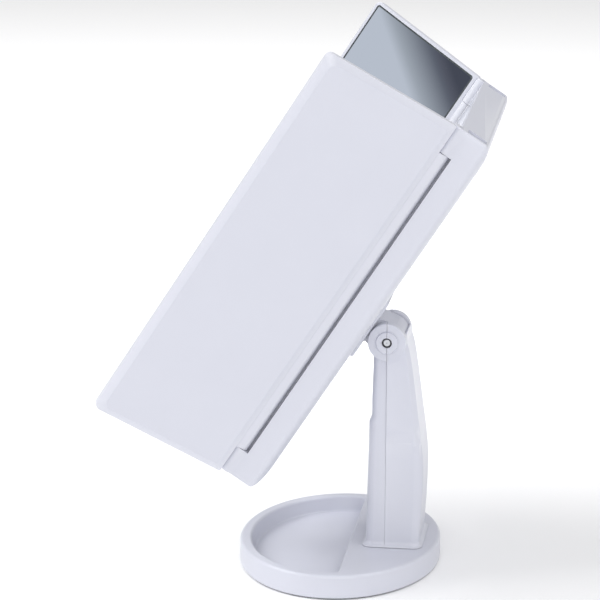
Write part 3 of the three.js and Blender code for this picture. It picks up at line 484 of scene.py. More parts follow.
def shaped(bm, join=(), cut=()):
    # closed shapes are joined to bm in turn, then others cut away, by exact booleans
    made = addToScene("work", meshOf(facedOut(bm), "work"))
    helpers = []
    for operation, tools in (("UNION", join), ("DIFFERENCE", cut)):
        for tool in tools:
            helper = addToScene("tool", meshOf(facedOut(tool), "tool"))
            helpers.append(helper)
            step = made.modifiers.new("step", "BOOLEAN")
            step.operation = operation
            step.solver = "EXACT"
            step.object = helper
    result = bmesh.new()
    seen = made.evaluated_get(bpy.context.evaluated_depsgraph_get())
    result.from_mesh(seen.to_mesh())
    seen.to_mesh_clear()
    for used in [made, *helpers]:
        mesh = used.data
        bpy.data.objects.remove(used)
        bpy.data.meshes.remove(mesh)
    bmesh.ops.remove_doubles(result, verts=result.verts, dist=0.002)
    bmesh.ops.dissolve_degenerate(result, edges=result.edges, dist=0.001)
    return result


def grooved(bm, face, gap, width, depth):
    # a groove all round the face, at a gap from its outline
    for inset, down in ((gap, 0), (width / 2, -depth), (width / 2, depth)):
        bmesh.ops.inset_region(bm, faces=[face], thickness=inset, depth=down)


def twoFinishes(bm, second):
    # faces whose normal fits get the piece's second finish
    for face in bm.faces:
        face.material_index = int(second(face.normal))
    return bm


def addPiece(bm, name, body, slot, *replaced, sharp=32.0):
    mesh = meshOf(facedOut(bm), name)
    mesh.transform(places[body])
    mesh.shade_smooth()
    mesh.set_sharp_from_angle(angle=math.radians(sharp))
    piece = addToScene(name, mesh)
    mesh.materials.append(finishes[slot])
    even = piece.modifiers.new("evenNormals", "WEIGHTED_NORMAL")
    even.keep_sharp = True
    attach(piece, body)
    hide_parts(*replaced)
    return piece


# Base: oval tray with a rounded rim, a plateau behind it, and the pad underneath

baseShape = {
    "length": 155.0, "depth": 121.6, "low": 0.8, "high": 15.0, "rim": 7.0, "rimRound": 2.0,
    "plateauFront": 7.1, "trayFloor": 5.5, "trayFillet": 1.3, "trayDraft": 2.0, "trayCorner": 3.0,
    "lipRound": 1.6, "lipAngle": 0.6, "wall": 2.2, "plateSeat": 3.3, "footTurn": 1.2, "segments": 144,
}
padShape = {
    "inset": 6.0, "thickness": 1.2, "edge": 0.4,
    "grooves": 3, "grooveGap": 5.0, "grooveWidth": 0.8, "grooveDepth": 0.35,
}


def ovalBlock(halfX, halfY, low, high, segments):
    bm = ovalSheet(halfX, halfY, low, segments)
    pushed(bm, next(iter(bm.faces)), (0, 0, high - low), keep=True)
    return facedOut(bm)


def trayRoom(s, halfX, halfY):
    # the hollow of the tray: an oval cut straight at the back, narrower at its floor
    front, draft = s["plateauFront"], s["trayDraft"]
    bm = ovalSheet(halfX - draft, halfY - draft, s["trayFloor"], s["segments"])
    beyondCut(bm, (0, front, 0), (0, 1, 0))
    # the oval's last short edges give way to the corner's rounding
    bmesh.ops.dissolve_verts(bm, verts=[v for v in bm.verts if 0.01 < front - v.co.y < 2 * s["trayCorner"]])
    ends = [v for v in bm.verts if front - v.co.y < 0.01]
    bmesh.ops.bevel(bm, geom=ends, offset=s["trayCorner"], offset_type="OFFSET", segments=8, profile=0.5,
                    affect="VERTICES", clamp_overlap=False, material=-1)
    cap = pushed(bm, next(iter(bm.faces)), (0, 0, s["high"] - s["trayFloor"]), keep=True)
    placed(bm, cap.verts[:], 0, -halfX, halfX)
    placed(bm, cap.verts[:], 1, -halfY, front)
    pushed(bm, cap, (0, 0, 3 * past))
    return roundEdges(facedOut(bm), edgesOn(bm, 2, s["trayFloor"]), s["trayFillet"], 5)


def makeBaseTray(s):
    halfX, halfY = s["length"] / 2, s["depth"] / 2
    bm = ovalBlock(halfX, halfY, s["low"], s["high"], s["segments"])
    rimRounded(bm, 2, s["high"], s["rimRound"], 6)
    rimRounded(bm, 2, s["low"], s["footTurn"], 3)
    bm = shaped(bm, cut=[trayRoom(s, halfX - s["rim"], halfY - s["rim"])])
    roundEdges(bm, sharperThan(edgesOn(bm, 2, s["high"]), s["lipAngle"]), s["lipRound"], 5)
    # the underside: a seat for the plate, and room for the weight under the plateau
    halfX, halfY = halfX - s["wall"], halfY - s["wall"]
    seat = ovalBlock(halfX, halfY, 0, s["plateSeat"], s["segments"])
    room = ovalBlock(halfX, halfY, 0, s["high"] - s["wall"], s["segments"])
    keptSide(room, (0, s["plateauFront"] + s["wall"], 0), (0, -1, 0))
    return shaped(bm, cut=[seat, room])


def makePad(s, base):
    bm = ovalBlock(base["length"] / 2 - s["inset"], base["depth"] / 2 - s["inset"], 0, s["thickness"],
                   base["segments"])
    rimRounded(bm, 2, 0, s["edge"], 3)
    under = faceTowards(bm, (0, 0, -1))
    for ring in range(s["grooves"]):
        grooved(bm, under, s["grooveGap"], s["grooveWidth"], s["grooveDepth"])
    return bm


addPiece(makeBaseTray(baseShape), "base_tray_moulding", "stand", "white_plastic", "base_tray")
addPiece(makePad(padShape, baseShape), "non_slip_pad_foam", "stand", "black_rubber", "non_slip_pad")
print("base made")

# Post: two shells that meet on the bolt's plane, with an ear on each side

postShape = {
    # height, depth in front of the bolt's plane, depth behind it
    "sections": [(15.3, 11.8, 20.2), (38.0, 11.5, 21.6), (50.0, 11.3, 22.1), (58.0, 11.1, 22.3),
                 (64.0, 10.95, 22.3), (70.0, 10.85, 21.95), (78.0, 10.6, 21.15), (86.0, 10.55, 20.1),
                 (91.5, 10.5, 19.35), (94.5, 8.9, 18.95), (105.0, 8.9, 17.6), (118.0, 8.5, 15.95),
                 (126.0, 8.3, 14.8), (131.5, 8.3, 13.9), (136.0, 8.3, 12.9), (140.5, 8.3, 11.6)],
    "footHalf": 22.5, "neckHalfFront": 17.7, "neckHalfBack": 18.7, "corner": 6.0, "wall": 2.2,
    "parting": 0.15, "partingFoot": 0.04, "ceiling": 128.3, "saddle": 10.5,
    # the foot flares out in a fillet: height above the foot, how far out
    "flare": [(0.0, 2.3), (0.35, 2.25), (0.6, 1.55), (1.0, 1.0), (1.6, 0.5), (2.4, 0.15), (3.4, 0.0)],
    # above this height the rear corners turn from rounded to chamfered
    "chamferFrom": 80.0, "chamfer": 3.4, "chamferEdge": 0.45, "chamferInset": 0.03,
    "chamferLap": 2.0, "hoodOuter": 11.6, "hoodRise": 20.0, "earGap": 0.05,
    "earRadius": 11.4, "earInner": 13.4, "earFace": 19.0, "earEdge": 0.5, "earSides": 112,
    "bossRadius": 7.0, "bossTop": 6.3, "bossHeight": 0.8, "bossRoot": 0.6, "bossGroove": 0.15,
    "bossGrooveWidth": 0.4, "holeRadius": 3.05, "holeDepth": 4.2, "boreRadius": 2.4, "boreHalf": 30.0,
    # blocks that cut the other half away, and the front's opening for the arm
    "cutHalf": 40.0, "cutDepth": 60.0, "cutTop": 200.0,
    "openFront": 30.0, "openBack": 5.0, "openTop": 30.0,
}


def sectionAt(s, height):
    rows = s["sections"]
    for low, high in zip(rows, rows[1:]):
        if height <= high[0]:
            share = (height - low[0]) / (high[0] - low[0])
            return [a + (b - a) * share for a, b in zip(low, high)]
    return rows[-1]


def postColumn(s, rear, low, high, inset=0.0, flare=(), chamfer=0.0):
    # half of the post's column from low to high, its walls moved in by inset, cut at the parting later
    neck = s["neckHalfBack"] if rear else s["neckHalfFront"]
    foot, top = s["sections"][0][0], s["sections"][-1][0]
    rows = [(low, 0.0), (high, 0.0)] + [(row[0], 0.0) for row in s["sections"] if low < row[0] < high]
    if flare:
        rows = [row for row in rows if row[0] > low + flare[-1][0]] + [(low + up, out) for up, out in flare]
    rows.sort()

    def fit(verts, height, out):
        _, front, back = sectionAt(s, height)
        half = s["footHalf"] + (neck - s["footHalf"]) * (height - foot) / (top - foot) - inset + out
        near, far = (-1.0, back - inset + out) if rear else (inset - front - out, 1.0)
        placed(bm, verts, 0, -half, half)
        placed(bm, verts, 1, pivot.y + near, pivot.y + far)

    bm = squareSheet(rows[0][0])
    pushed(bm, next(iter(bm.faces)), (0, 0, rows[1][0] - rows[0][0]), keep=True)
    fit(bm.verts[:], *rows[0])
    corners = [e for e in edgesAlong(bm, 2)
               if abs(e.verts[0].co.y - pivot.y) > 2 and (e.verts[0].co.y > pivot.y) == rear]
    if chamfer:
        roundEdges(facedOut(bm), corners, chamfer, 1)
        facets = [e for e in edgesAlong(bm, 2) if 0.5 < e.calc_face_angle(0) < 1.0]
        roundEdges(bm, facets, s["chamferEdge"], 2)
    else:
        roundEdges(facedOut(bm), corners, max(s["corner"] - inset, 1.0), 8)
    cap = max(bm.faces, key=lambda face: face.calc_center_median().z)
    fit(cap.verts[:], *rows[1])
    for height, out in rows[2:]:
        cap = pushed(bm, cap, (0, 0, height - cap.calc_center_median().z))
        fit(cap.verts[:], height, out)
    return facedOut(bm)


def makeEar(s):
    face, sides = s["earFace"], s["earSides"]
    ear = axle(s["earRadius"], s["earInner"], face - s["earInner"], segments=sides)
    rimRounded(ear, 0, face, s["earEdge"], 3)
    groove = axle(s["bossRadius"] + s["bossGrooveWidth"], face - s["bossGroove"], 3 * past, segments=sides)
    boss = axle(s["bossRadius"], face - s["bossRoot"], s["bossHeight"] + s["bossRoot"], s["bossTop"], sides)
    return shaped(shaped(ear, cut=[groove]), join=[boss])


def makeHood(s):
    # the rear wall carried on round the arm, between the ears
    hood = axle(s["hoodOuter"], -s["earInner"] - lap, 2 * s["earInner"] + 2 * lap, segments=96)
    keptSide(hood, (0, 0, pivot.z - lap), (0, 0, -1))
    rise = math.radians(s["hoodRise"])
    return keptSide(hood, pivot, (0, -math.sin(rise), math.cos(rise)))


def partingCut(s, rear):
    # cuts the other half away, a little past the bolt's plane: the parting line, finer at the foot
    wide, deep, gap = s["cutHalf"], s["cutDepth"], s["parting"]
    near, far = (-deep, gap) if rear else (-gap, deep)
    cut = block(-wide, wide, near, far, 0, s["cutTop"])
    for v in cut.verts:
        if abs(v.co.y) < 1:
            v.co.y *= 1 if v.co.z > 1 else s["partingFoot"] / gap
        v.co.y += pivot.y
    return cut


def makePostShell(s, rear):
    foot, top, inner, gap = s["sections"][0][0], s["sections"][-1][0], s["earInner"], s["earGap"]
    if rear:
        column = postColumn(s, rear, foot, s["chamferFrom"], flare=s["flare"])
        upper = postColumn(s, rear, s["chamferFrom"] - s["chamferLap"], top, inset=s["chamferInset"],
                           chamfer=s["chamfer"])
        column = shaped(column, join=[upper, makeHood(s)])
    else:
        column = postColumn(s, rear, foot, top, flare=s["flare"])
        column = shaped(column, cut=[block(-inner - gap, inner + gap, pivot.y - s["openFront"],
                                           pivot.y + s["openBack"], pivot.z - s["saddle"],
                                           pivot.z + s["openTop"])])
    room = postColumn(s, rear, foot + s["wall"], s["ceiling"], inset=s["wall"])
    saddle = axle(s["saddle"], -inner - gap, 2 * inner + 2 * gap, segments=96)
    column = shaped(column, cut=[room, saddle])
    hole = axle(s["holeRadius"], s["earFace"] - s["holeDepth"], s["holeDepth"] + 5 * past)
    bore = axle(s["boreRadius"], -s["boreHalf"], 2 * s["boreHalf"])
    return shaped(column, join=bothSides(makeEar(s)), cut=[*bothSides(hole), bore, partingCut(s, rear)])


for rear, name in ((False, "post_front_shell"), (True, "post_rear_shell")):
    addPiece(makePostShell(postShape, rear), name + "_moulding", "stand", "white_plastic", name)
print("post made")

# Screws with a crossed recess, and the bolt of the tilt pivot with its nut and sleeves

screwShape = {
    "headRadius": 2.7, "headHeight": 1.5, "headEdge": 0.55, "shaftRadius": 1.5, "core": 1.3,
    "shaftRoot": 0.3, "recessLength": 2.9, "recessWidth": 0.62, "recessDepth": 0.95,
    "threads": 9, "pitch": 0.9, "threadFrom": 1.2, "threadInner": 1.25, "threadLap": 0.02, "sides": 20,
}
boltShape = {
    "radius": 2.1, "end": 19.0, "endEdge": 0.3, "dimple": 0.55, "dimpleTip": 0.1, "dimpleDepth": 0.35,
    "shoulder": 14.8, "threadRadius": 1.4, "threadEnd": 17.9, "threadClearance": 0.3, "nutEnd": 0.8,
    "collarRadius": 2.8, "collarLow": 15.1, "collarHigh": 16.7,
    "sleeveRadius": 2.95, "sleeveBore": 2.2, "sleeveLow": 17.0, "sleeveHigh": 18.5, "sleeveEdge": 0.14,
    "capRoot": 0.3, "cutLength": 6.0,
}


def makeScrew(s, length):
    # along +z, its head's top at 0
    head = rod(s["headRadius"], s["headHeight"], "z", (0, 0, 0), segments=40)
    rimRounded(head, 2, 0, s["headEdge"], 4)
    shaft = rod(s["core"], length - s["headHeight"] + s["shaftRoot"], "z",
                (0, 0, s["headHeight"] - s["shaftRoot"]), segments=s["sides"])
    outer, inner, half = s["shaftRadius"], s["threadInner"], s["pitch"] / 2
    threads = []
    for turn in range(s["threads"]):
        start = s["headHeight"] + s["threadFrom"] + turn * s["pitch"]
        if start + s["pitch"] > length:
            break
        threads.append(rod(inner, half, "z", (0, 0, start), outer, s["sides"]))
        threads.append(rod(outer, half, "z", (0, 0, start + half - s["threadLap"]), inner, s["sides"]))
    half, wide = s["recessLength"] / 2, s["recessWidth"] / 2
    slots = [block(-x, x, -y, y, -lap, s["recessDepth"]) for x, y in ((half, wide), (wide, half))]
    return shaped(head, join=[shaft, *threads], cut=slots)


def addScrews(kind, spots, s):
    # screws that point forward into the panel, the recess of each turned further than the last
    for index, (x, z) in enumerate(spots):
        bm = makeScrew(screwShape, s["screwLength"])
        turn = math.radians(s["screwTurn"] + s["screwTurnStep"] * index)
        bm.transform(Matrix.Translation((x, -s["screwTop"], z)) @ Matrix.Rotation(math.radians(90), 4, "X")
                     @ Matrix.Rotation(turn, 4, "Z"))
        name = f"{kind}_screw_{index + 1}"
        addPiece(bm, name + "_cross_head", "head", "steel", name)


def addPivotBolt(s):
    end, collarLength = s["end"], s["collarHigh"] - s["collarLow"]
    shaft = axle(s["radius"], -s["shoulder"], end + s["shoulder"])
    rimRounded(shaft, 0, end, s["endEdge"], 3)
    collar = axle(s["collarRadius"], s["collarLow"], collarLength)
    thread = axle(s["threadRadius"], -s["threadEnd"], s["threadEnd"] - s["shoulder"] + lap)
    dimple = axle(s["dimpleTip"], end - s["dimpleDepth"], lap, s["dimple"], 24)
    bolt = shaped(shaft, join=[collar, thread], cut=[dimple])
    addPiece(bolt, "pivot_bolt_turned", "stand", "steel", "pivot_bolt")
    hexagon = axle(s["collarRadius"], -s["collarHigh"], collarLength, segments=6)
    cap = axle(s["radius"], -end, end - s["collarHigh"] + s["capRoot"])
    rimRounded(cap, 0, -end, s["endEdge"], 3)
    inside = axle(s["threadRadius"] + s["threadClearance"], s["nutEnd"] - end, s["cutLength"])
    addPiece(shaped(hexagon, join=[cap], cut=[inside]), "pivot_nut_turned", "stand", "steel", "pivot_nut")
    # the sleeves' black is partly their own colour and partly painted shade for the dark ring deep in each
    # ear's hole
    for side, low in (("right", s["sleeveLow"]), ("left", -s["sleeveHigh"])):
        sleeve = axle(s["sleeveRadius"], low, s["sleeveHigh"] - s["sleeveLow"])
        sleeve = shaped(sleeve, cut=[axle(s["sleeveBore"], low - past, s["cutLength"])])
        roundEdges(sleeve, sharperThan(sleeve.edges, math.radians(50)), s["sleeveEdge"], 2)
        addPiece(sleeve, "pivot_sleeve_" + side, "stand", "black_plastic", "pivot_bushing_" + side)


addPivotBolt(boltShape)

# Bracket: a pad screwed to the panel's back, and an arm that tapers round the bolt

bracketShape = {
    "padHalfWidth": 18.0, "padHalfHeight": 20.0, "padBack": 11.9, "padFront": 16.1, "corner": 3.0,
    "edge": 1.1, "armHalf": 12.0, "armRadius": 10.2, "armRoot": 8.1, "armEdge": 0.4, "fillet": 1.1,
    "screwX": 11.0, "screwZ": 16.0, "screwTop": 12.1, "screwLength": 11.8,
    "screwTurn": 17, "screwTurnStep": 38,
    "sinkRadius": 3.0, "sinkDepth": 1.9, "boreRadius": 1.8, "boreLength": 8.0,
    "boltBore": 2.4, "boltBoreHalf": 30.0,
}
bracketSpots = fourSpots(bracketShape["screwX"], -bracketShape["screwZ"], bracketShape["screwZ"])


def makeBracket(s):
    pad = panelBlock(-s["padHalfWidth"], s["padHalfWidth"], s["padBack"], s["padFront"],
                     -s["padHalfHeight"], s["padHalfHeight"])
    roundEdges(pad, edgesAlong(pad, 1), s["corner"], 6)
    rimRounded(pad, 1, -s["padBack"], s["edge"], 4)
    arm = rod(s["armRadius"], 2 * s["armHalf"], "x", (-s["armHalf"], 0, 0), segments=96)
    root = panelBlock(-s["armHalf"], s["armHalf"], s["padBack"] + lap, s["padBack"] + 2 * lap,
                      -s["armRoot"], s["armRoot"])
    corners = [bmesh.ops.create_vert(arm, co=v.co)["vert"][0] for v in root.verts]
    root.free()
    hull = bmesh.ops.convex_hull(arm, input=arm.verts)
    spare = [g for g in {*hull["geom_interior"], *hull["geom_unused"]} if g.is_valid]
    bmesh.ops.delete(arm, geom=[g for g in spare if isinstance(g, bmesh.types.BMVert)], context="VERTS")
    bmesh.ops.dissolve_limit(arm, angle_limit=0.01, verts=arm.verts, edges=arm.edges)
    ends = [e for side in (-1, 1) for e in edgesOn(arm, 0, side * s["armHalf"])
            if all(v.co.y > 1 - s["padBack"] for v in e.verts)]
    roundEdges(arm, ends, s["armEdge"], 3)
    sinks = [rod(s["sinkRadius"], s["sinkDepth"] + 2 * past, "y", (x, -s["padBack"] - s["sinkDepth"], z),
                 segments=40) for x, z in bracketSpots]
    bores = [rod(s["boreRadius"], s["boreLength"], "y", (x, -s["padFront"] - 2 * past, z), segments=32)
             for x, z in bracketSpots]
    whole = facedOut(shaped(pad, join=[arm]))
    seam = [e for e in sharperThan(edgesOn(whole, 1, -s["padBack"]), 0.3) if not e.is_convex]
    roundEdges(whole, seam, s["fillet"], 4)
    boltBore = rod(s["boltBore"], 2 * s["boltBoreHalf"], "x", (-s["boltBoreHalf"], 0, 0))
    return shaped(whole, cut=[boltBore, *sinks, *bores])


addPiece(makeBracket(bracketShape), "pivot_bracket_moulding", "head", "white_plastic", "pivot_bracket")
addScrews("bracket", bracketSpots, bracketShape)
print("bracket made")

# Centre panel: housing with a rounded back, hinge knuckles at its corners and the battery room

panelShape = {
    "half": 93.0, "low": -95.9, "high": 143.8, "back": 16.4, "front": 37.7, "backRise": 5.2,
    "backInset": 16.0, "backSteps": 10, "corner": 1.6, "wall": 2.2,
    # the rooms inside: behind the bezel's seat, in the domed back, and open to the front
    "roomRise": 6.4, "roomTop": 31.0, "roomCorner": 2.0, "domeHalf": 80.0, "domeTop": 23.5,
    "domeInset": 10.0, "openFrom": 30.0, "openTo": 40.0,
    "bezelHalf": 84.3, "bezelLedge": 34.0, "bezelLow": -94.6, "bezelHigh": 141.6,
    "troughFloor": 32.8, "troughWall": 83.0, "troughSkin": 1.2, "troughLow": -79.6, "troughHigh": 126.6,
    "troughInner": 84.5, "troughTop": 60.0, "linerReach": 0.7, "linerStep": 0.2,
    "slotInner": 81.5, "slotOuter": 90.4, "slotRear": 21.6, "slotFront": 33.6,
    # the slot's shallow part starts so far forward, how far its deep part reaches into it, both depths
    "slotStep": 1.4, "slotLap": 0.1, "slotShallow": 1.7, "slotDeep": 4.0,
    "knuckle": 4.2, "knuckleEdge": 0.5, "pinBore": 1.5, "pinReach": 150.0,
    "screwX": 68.0, "screwLow": -77.3, "screwHigh": 124.3, "screwTop": 17.9, "screwLength": 14.0,
    "screwTurn": 24, "screwTurnStep": 51,
    # radius, length, how deep it ends, and facets
    "well": (4.9, 4.4, 5.4, 64), "headBore": (3.0, 6.6, 3.6, 64), "shaftBore": (1.8, 9.0, 6.4, 32),
    "boss": (3.5, 7.5, 8.5, 32), "bossBore": (1.8, 9.0, 8.0, 32),
    "cellHalf": 22.4, "cellLow": 62.0, "cellHigh": 112.1, "cellFloor": 29.8, "cellWall": 1.6,
    "coverHalf": 24.8, "coverLow": 59.6, "coverHigh": 114.5, "coverFloor": 18.7, "coverGap": 0.3,
    "coverCorner": 1.3, "controlZ": -70.8, "socketX": 50.0, "switchX": 32.0,
    # half width, reach down and up, and corner of the openings
    "socketHole": (4.1, 1.8, 1.8, 1.4), "switchHole": (2.0, 2.8, 5.8, 0.6), "holeDepth": 5.0,
}
housingSpots = fourSpots(panelShape["screwX"], panelShape["screwLow"], panelShape["screwHigh"])


def backRods(s, spots, *rows):
    return [rod(radius, length, "y", (x, -s["back"] - end, z), segments=facets)
            for x, z in spots for radius, length, end, facets in rows]


def makeHousing(s):
    back, rise, half = s["back"], s["backRise"], s["half"]
    turns = [math.radians(90 - 90 * step / s["backSteps"]) for step in range(s["backSteps"] + 1)]
    levels = [(back + rise * (1 - math.sin(t)), s["backInset"] * (1 - math.cos(t))) for t in turns]
    outer = stacked(-half, half, s["low"], s["high"], [*levels, (s["front"], 0)], s["corner"])
    wall, low, high = s["wall"], s["low"] + s["wall"], s["high"] - s["wall"]
    inset = s["domeInset"]
    shell = shaped(outer, cut=[
        stacked(-half + wall, half - wall, low, high, [(back + s["roomRise"], 0), (s["roomTop"], 0)],
                s["roomCorner"]),
        panelBlock(-s["domeHalf"], s["domeHalf"], back + wall, s["domeTop"], low + inset, high - inset),
        panelBlock(wall - s["bezelHalf"], s["bezelHalf"] - wall, s["openFrom"], s["openTo"], low, high),
    ])
    room, cell, cover, gap = s["cellWall"], s["cellHalf"], s["coverHalf"], s["coverGap"]
    cellBox = panelBlock(-cell - room, cell + room, back + past, s["cellFloor"] + room,
                         s["cellLow"] - room, s["cellHigh"] + room)
    land = panelBlock(-cover - room, cover + room, back + past, s["coverFloor"] + wall,
                      s["coverLow"] - room, s["coverHigh"] + room)
    cellRoom = panelBlock(-cell, cell, back - past, s["cellFloor"], s["cellLow"], s["cellHigh"])
    coverSeat = stacked(-cover - gap, cover + gap, s["coverLow"] - gap, s["coverHigh"] + gap,
                        [(back - past, 0), (s["coverFloor"], 0)], s["coverCorner"])
    bezelSeat = panelBlock(-s["bezelHalf"], s["bezelHalf"], s["bezelLedge"], s["openTo"],
                           s["bezelLow"], s["bezelHigh"])
    troughs = bothSides(panelBlock(s["troughInner"], half + past, s["troughFloor"], s["troughTop"],
                                   s["troughLow"], s["troughHigh"]))
    slots = []
    for near, far, depth in ((s["slotRear"] + s["slotStep"], s["slotFront"], s["slotShallow"]),
                             (s["slotRear"], s["slotRear"] + s["slotStep"] + s["slotLap"], s["slotDeep"])):
        slots += bothSides(panelBlock(s["slotInner"], s["slotOuter"], near, far, s["high"] - depth,
                                      s["high"] + past))
    holes = [stacked(x - wide, x + wide, s["controlZ"] - down, s["controlZ"] + up,
                     [(back - past, 0), (back + s["holeDepth"], 0)], corner)
             for x, (wide, down, up, corner) in ((s["socketX"], s["socketHole"]),
                                                 (s["switchX"], s["switchHole"]))]
    # the trough's floor and inner wall, a little outside its own cut
    below, reach = s["troughFloor"] - s["troughSkin"], s["linerReach"]
    liners = bothSides(panelBlock(s["troughWall"], half - lap, below, s["troughFloor"] + lap,
                                  s["troughLow"] - reach, s["troughHigh"] + reach))
    liners += bothSides(panelBlock(s["troughWall"], s["troughInner"] + lap, below + s["linerStep"],
                                   s["bezelLedge"] + lap, s["troughLow"] - lap, s["troughHigh"] + lap))
    wells = backRods(s, housingSpots, s["well"])
    wellBores = backRods(s, housingSpots, s["headBore"], s["shaftBore"])
    bosses, bossBores = [backRods(s, bracketSpots, s[row]) for row in ("boss", "bossBore")]
    shell = shaped(shell, join=[*wells, *bosses, *liners, cellBox, land],
                   cut=[*wellBores, *bossBores, cellRoom, coverSeat, bezelSeat, *troughs, *slots, *holes])
    knuckles, feet, edge = [], [], s["knuckleEdge"]
    for near, far, end, under, over in ((s["low"], s["troughLow"], s["low"], edge, 0),
                                        (s["troughHigh"], s["high"], s["high"], 0, edge)):
        knuckle = rod(s["knuckle"], far - near, "z", (hinge.x, hinge.y, near), segments=80)
        knuckles += bothSides(rimRounded(knuckle, 2, end, edge, 4))
        feet += bothSides(block(hinge.x - s["knuckle"], half, hinge.y, hinge.y + s["knuckle"],
                                near + under, far - over))
    pinBore = rod(s["pinBore"], 2 * s["pinReach"], "z", (hinge.x, hinge.y, -s["pinReach"]), segments=40)
    return shaped(shell, join=[*knuckles, *feet], cut=bothSides(pinBore))


addPiece(makeHousing(panelShape), "rear_housing_moulding", "head", "white_plastic", "rear_housing")
addScrews("housing", housingSpots, panelShape)
print("housing made")

# Front of the panel: bezel, bevelled mirror, light strips and touch button

frontShape = {
    "half": 84.0, "low": -94.3, "high": 141.3, "back": 34.3, "front": 37.7, "corner": 1.5, "edge": 0.4,
    "border": 2.0, "floor": 35.5, "pocketCorner": 1.0, "cutTo": 40.0,
    "postRadius": 3.5, "postEnd": 22.1, "boreRadius": 1.8, "boreLength": 10.8, "boreFrom": 32.6,
    "touchZ": -80.3, "touchRadius": 6.0, "touchGap": 0.3, "touchEdge": 0.35, "touchFrom": 45.0,
    "touchLength": 20.0, "ringGap": 1.5, "ringWidth": 0.5, "ringDepth": 0.2,
    "mirrorHalf": 74.7, "glassLow": -92.0, "glassHigh": 139.0, "glassBack": 35.8, "glassFront": 37.6,
    "glassEdge": 0.45, "glassCorner": 1.0, "lampInner": 75.3, "lampOuter": 81.7, "lampEdge": 0.3,
    # openings behind the lamps
    "lampX": 78.5, "lampHalf": 1.6, "lampFrom": 30.0, "lampTo": 37.0, "lampInset": 20.0,
}
bevelDrop = 0.6  # the height of a mirror's ground bevel, as a share of its width


def touchRod(s, radius):
    return rod(radius, s["touchLength"], "y", (0, -s["touchFrom"], s["touchZ"]))


def makeBezel(s):
    plate = stacked(-s["half"], s["half"], s["low"], s["high"],
                    frontEdged(s["back"], s["front"], s["edge"]), s["corner"])
    pocket = stacked(-s["half"] + s["border"], s["half"] - s["border"], s["low"] + s["border"],
                     s["high"] - s["border"], [(s["floor"], 0), (s["cutTo"], 0)], s["pocketCorner"])
    slots = bothSides(panelBlock(s["lampX"] - s["lampHalf"], s["lampX"] + s["lampHalf"], s["lampFrom"],
                                 s["lampTo"], s["low"] + s["lampInset"], s["high"] - s["lampInset"]))
    posts = [rod(s["postRadius"], s["back"] + lap - s["postEnd"], "y", (x, -s["back"] - lap, z), segments=40)
             for x, z in housingSpots]
    bores = [rod(s["boreRadius"], s["boreLength"], "y", (x, -s["boreFrom"], z), segments=32)
             for x, z in housingSpots]
    return shaped(plate, join=posts, cut=[pocket, touchRod(s, s["touchRadius"]), *slots, *bores])


def addMirror(bm, name, body):
    # a plate of mirror glass whose ground edge is the second finish, dark partly as a painted reflection of
    # the shaded frame
    plate = addPiece(bm, name + "_edge_with_painted_reflection", body, "mirror_glass", name, sharp=20)
    plate.data.materials.append(groundEdgeWithPaintedReflection)


def addFront(s):
    addPiece(makeBezel(s), "front_bezel_moulding", "head", "white_plastic", "front_bezel")
    low, high, back, front = s["glassLow"], s["glassHigh"], s["glassBack"], s["glassFront"]
    mirror = stacked(-s["mirrorHalf"], s["mirrorHalf"], low, high, [
        (back, 0), (front - s["glassEdge"] * bevelDrop, 0), (front, s["glassEdge"])], s["glassCorner"])
    twoFinishes(mirror, lambda normal: normal.y >= -0.99)
    mirror = shaped(mirror, cut=[touchRod(s, s["touchRadius"] + s["touchGap"])])
    addMirror(mirror, "centre_mirror", "head")
    for side, name in ((-1, "left"), (1, "right")):
        x0, x1 = sorted((side * s["lampInner"], side * s["lampOuter"]))
        strip = stacked(x0, x1, low, high, frontEdged(back, front, s["lampEdge"]), s["glassCorner"])
        addPiece(strip, "led_diffuser_strip_" + name, "head", "frosted_acrylic", "led_diffuser_" + name)
    button = rod(s["touchRadius"], front - back, "y", (0, -front, s["touchZ"]))
    rimRounded(button, 1, -front, s["touchEdge"], 3)
    grooved(button, faceTowards(button, (0, -1, 0)), s["ringGap"], s["ringWidth"], s["ringDepth"])
    addPiece(button, "touch_button_ringed", "head", "frosted_acrylic", "touch_button")


addFront(frontShape)
print("front made")

# Wings: shallow shells with a chamfered back, a hinge barrel on one side and mirrors let in

wingShape = {
    # near and far are measured from the hinge's axis, inner and outer from the mirror side outwards
    "near": 4.5, "far": 88.4, "low": -96.8, "high": 143.8, "inner": 0.3, "outer": 7.3, "rimEdge": 0.4,
    "bevelWidth": 4.0, "bevelDepth": 2.0, "corner": 3.5, "innerCorner": 0.8, "softEdge": 0.3,
    "pocketNear": 7.0, "pocketFar": 86.4, "pocketLow": -94.8, "pocketHigh": 141.8, "pocketFloor": 2.5,
    "pocketCorner": 1.5, "skin": 1.8, "roomInset": 3.0, "ribs": 4, "rib": 1.2,
    "barrel": 3.8, "barrelLow": -79.3, "barrelHigh": 126.3, "tongueReach": 5.5, "tongueHeight": 4.4,
    "pinBore": 1.5, "pinDeep": 31.0, "glassBack": 2.2, "glassFront": 0.4, "glassEdge": 0.75,
    "glassCorner": 1.0, "fit": 0.3, "split": 23.5, "bar": 1.5, "barFront": 0.3, "barEdge": 0.3,
}


def wingStack(side, near, far, low, high, levels, corner=0.0, inner=0.0):
    x0, x1 = sorted((-side * near, -side * far))
    return stacked(x0, x1, low, high, levels, corner, inner)


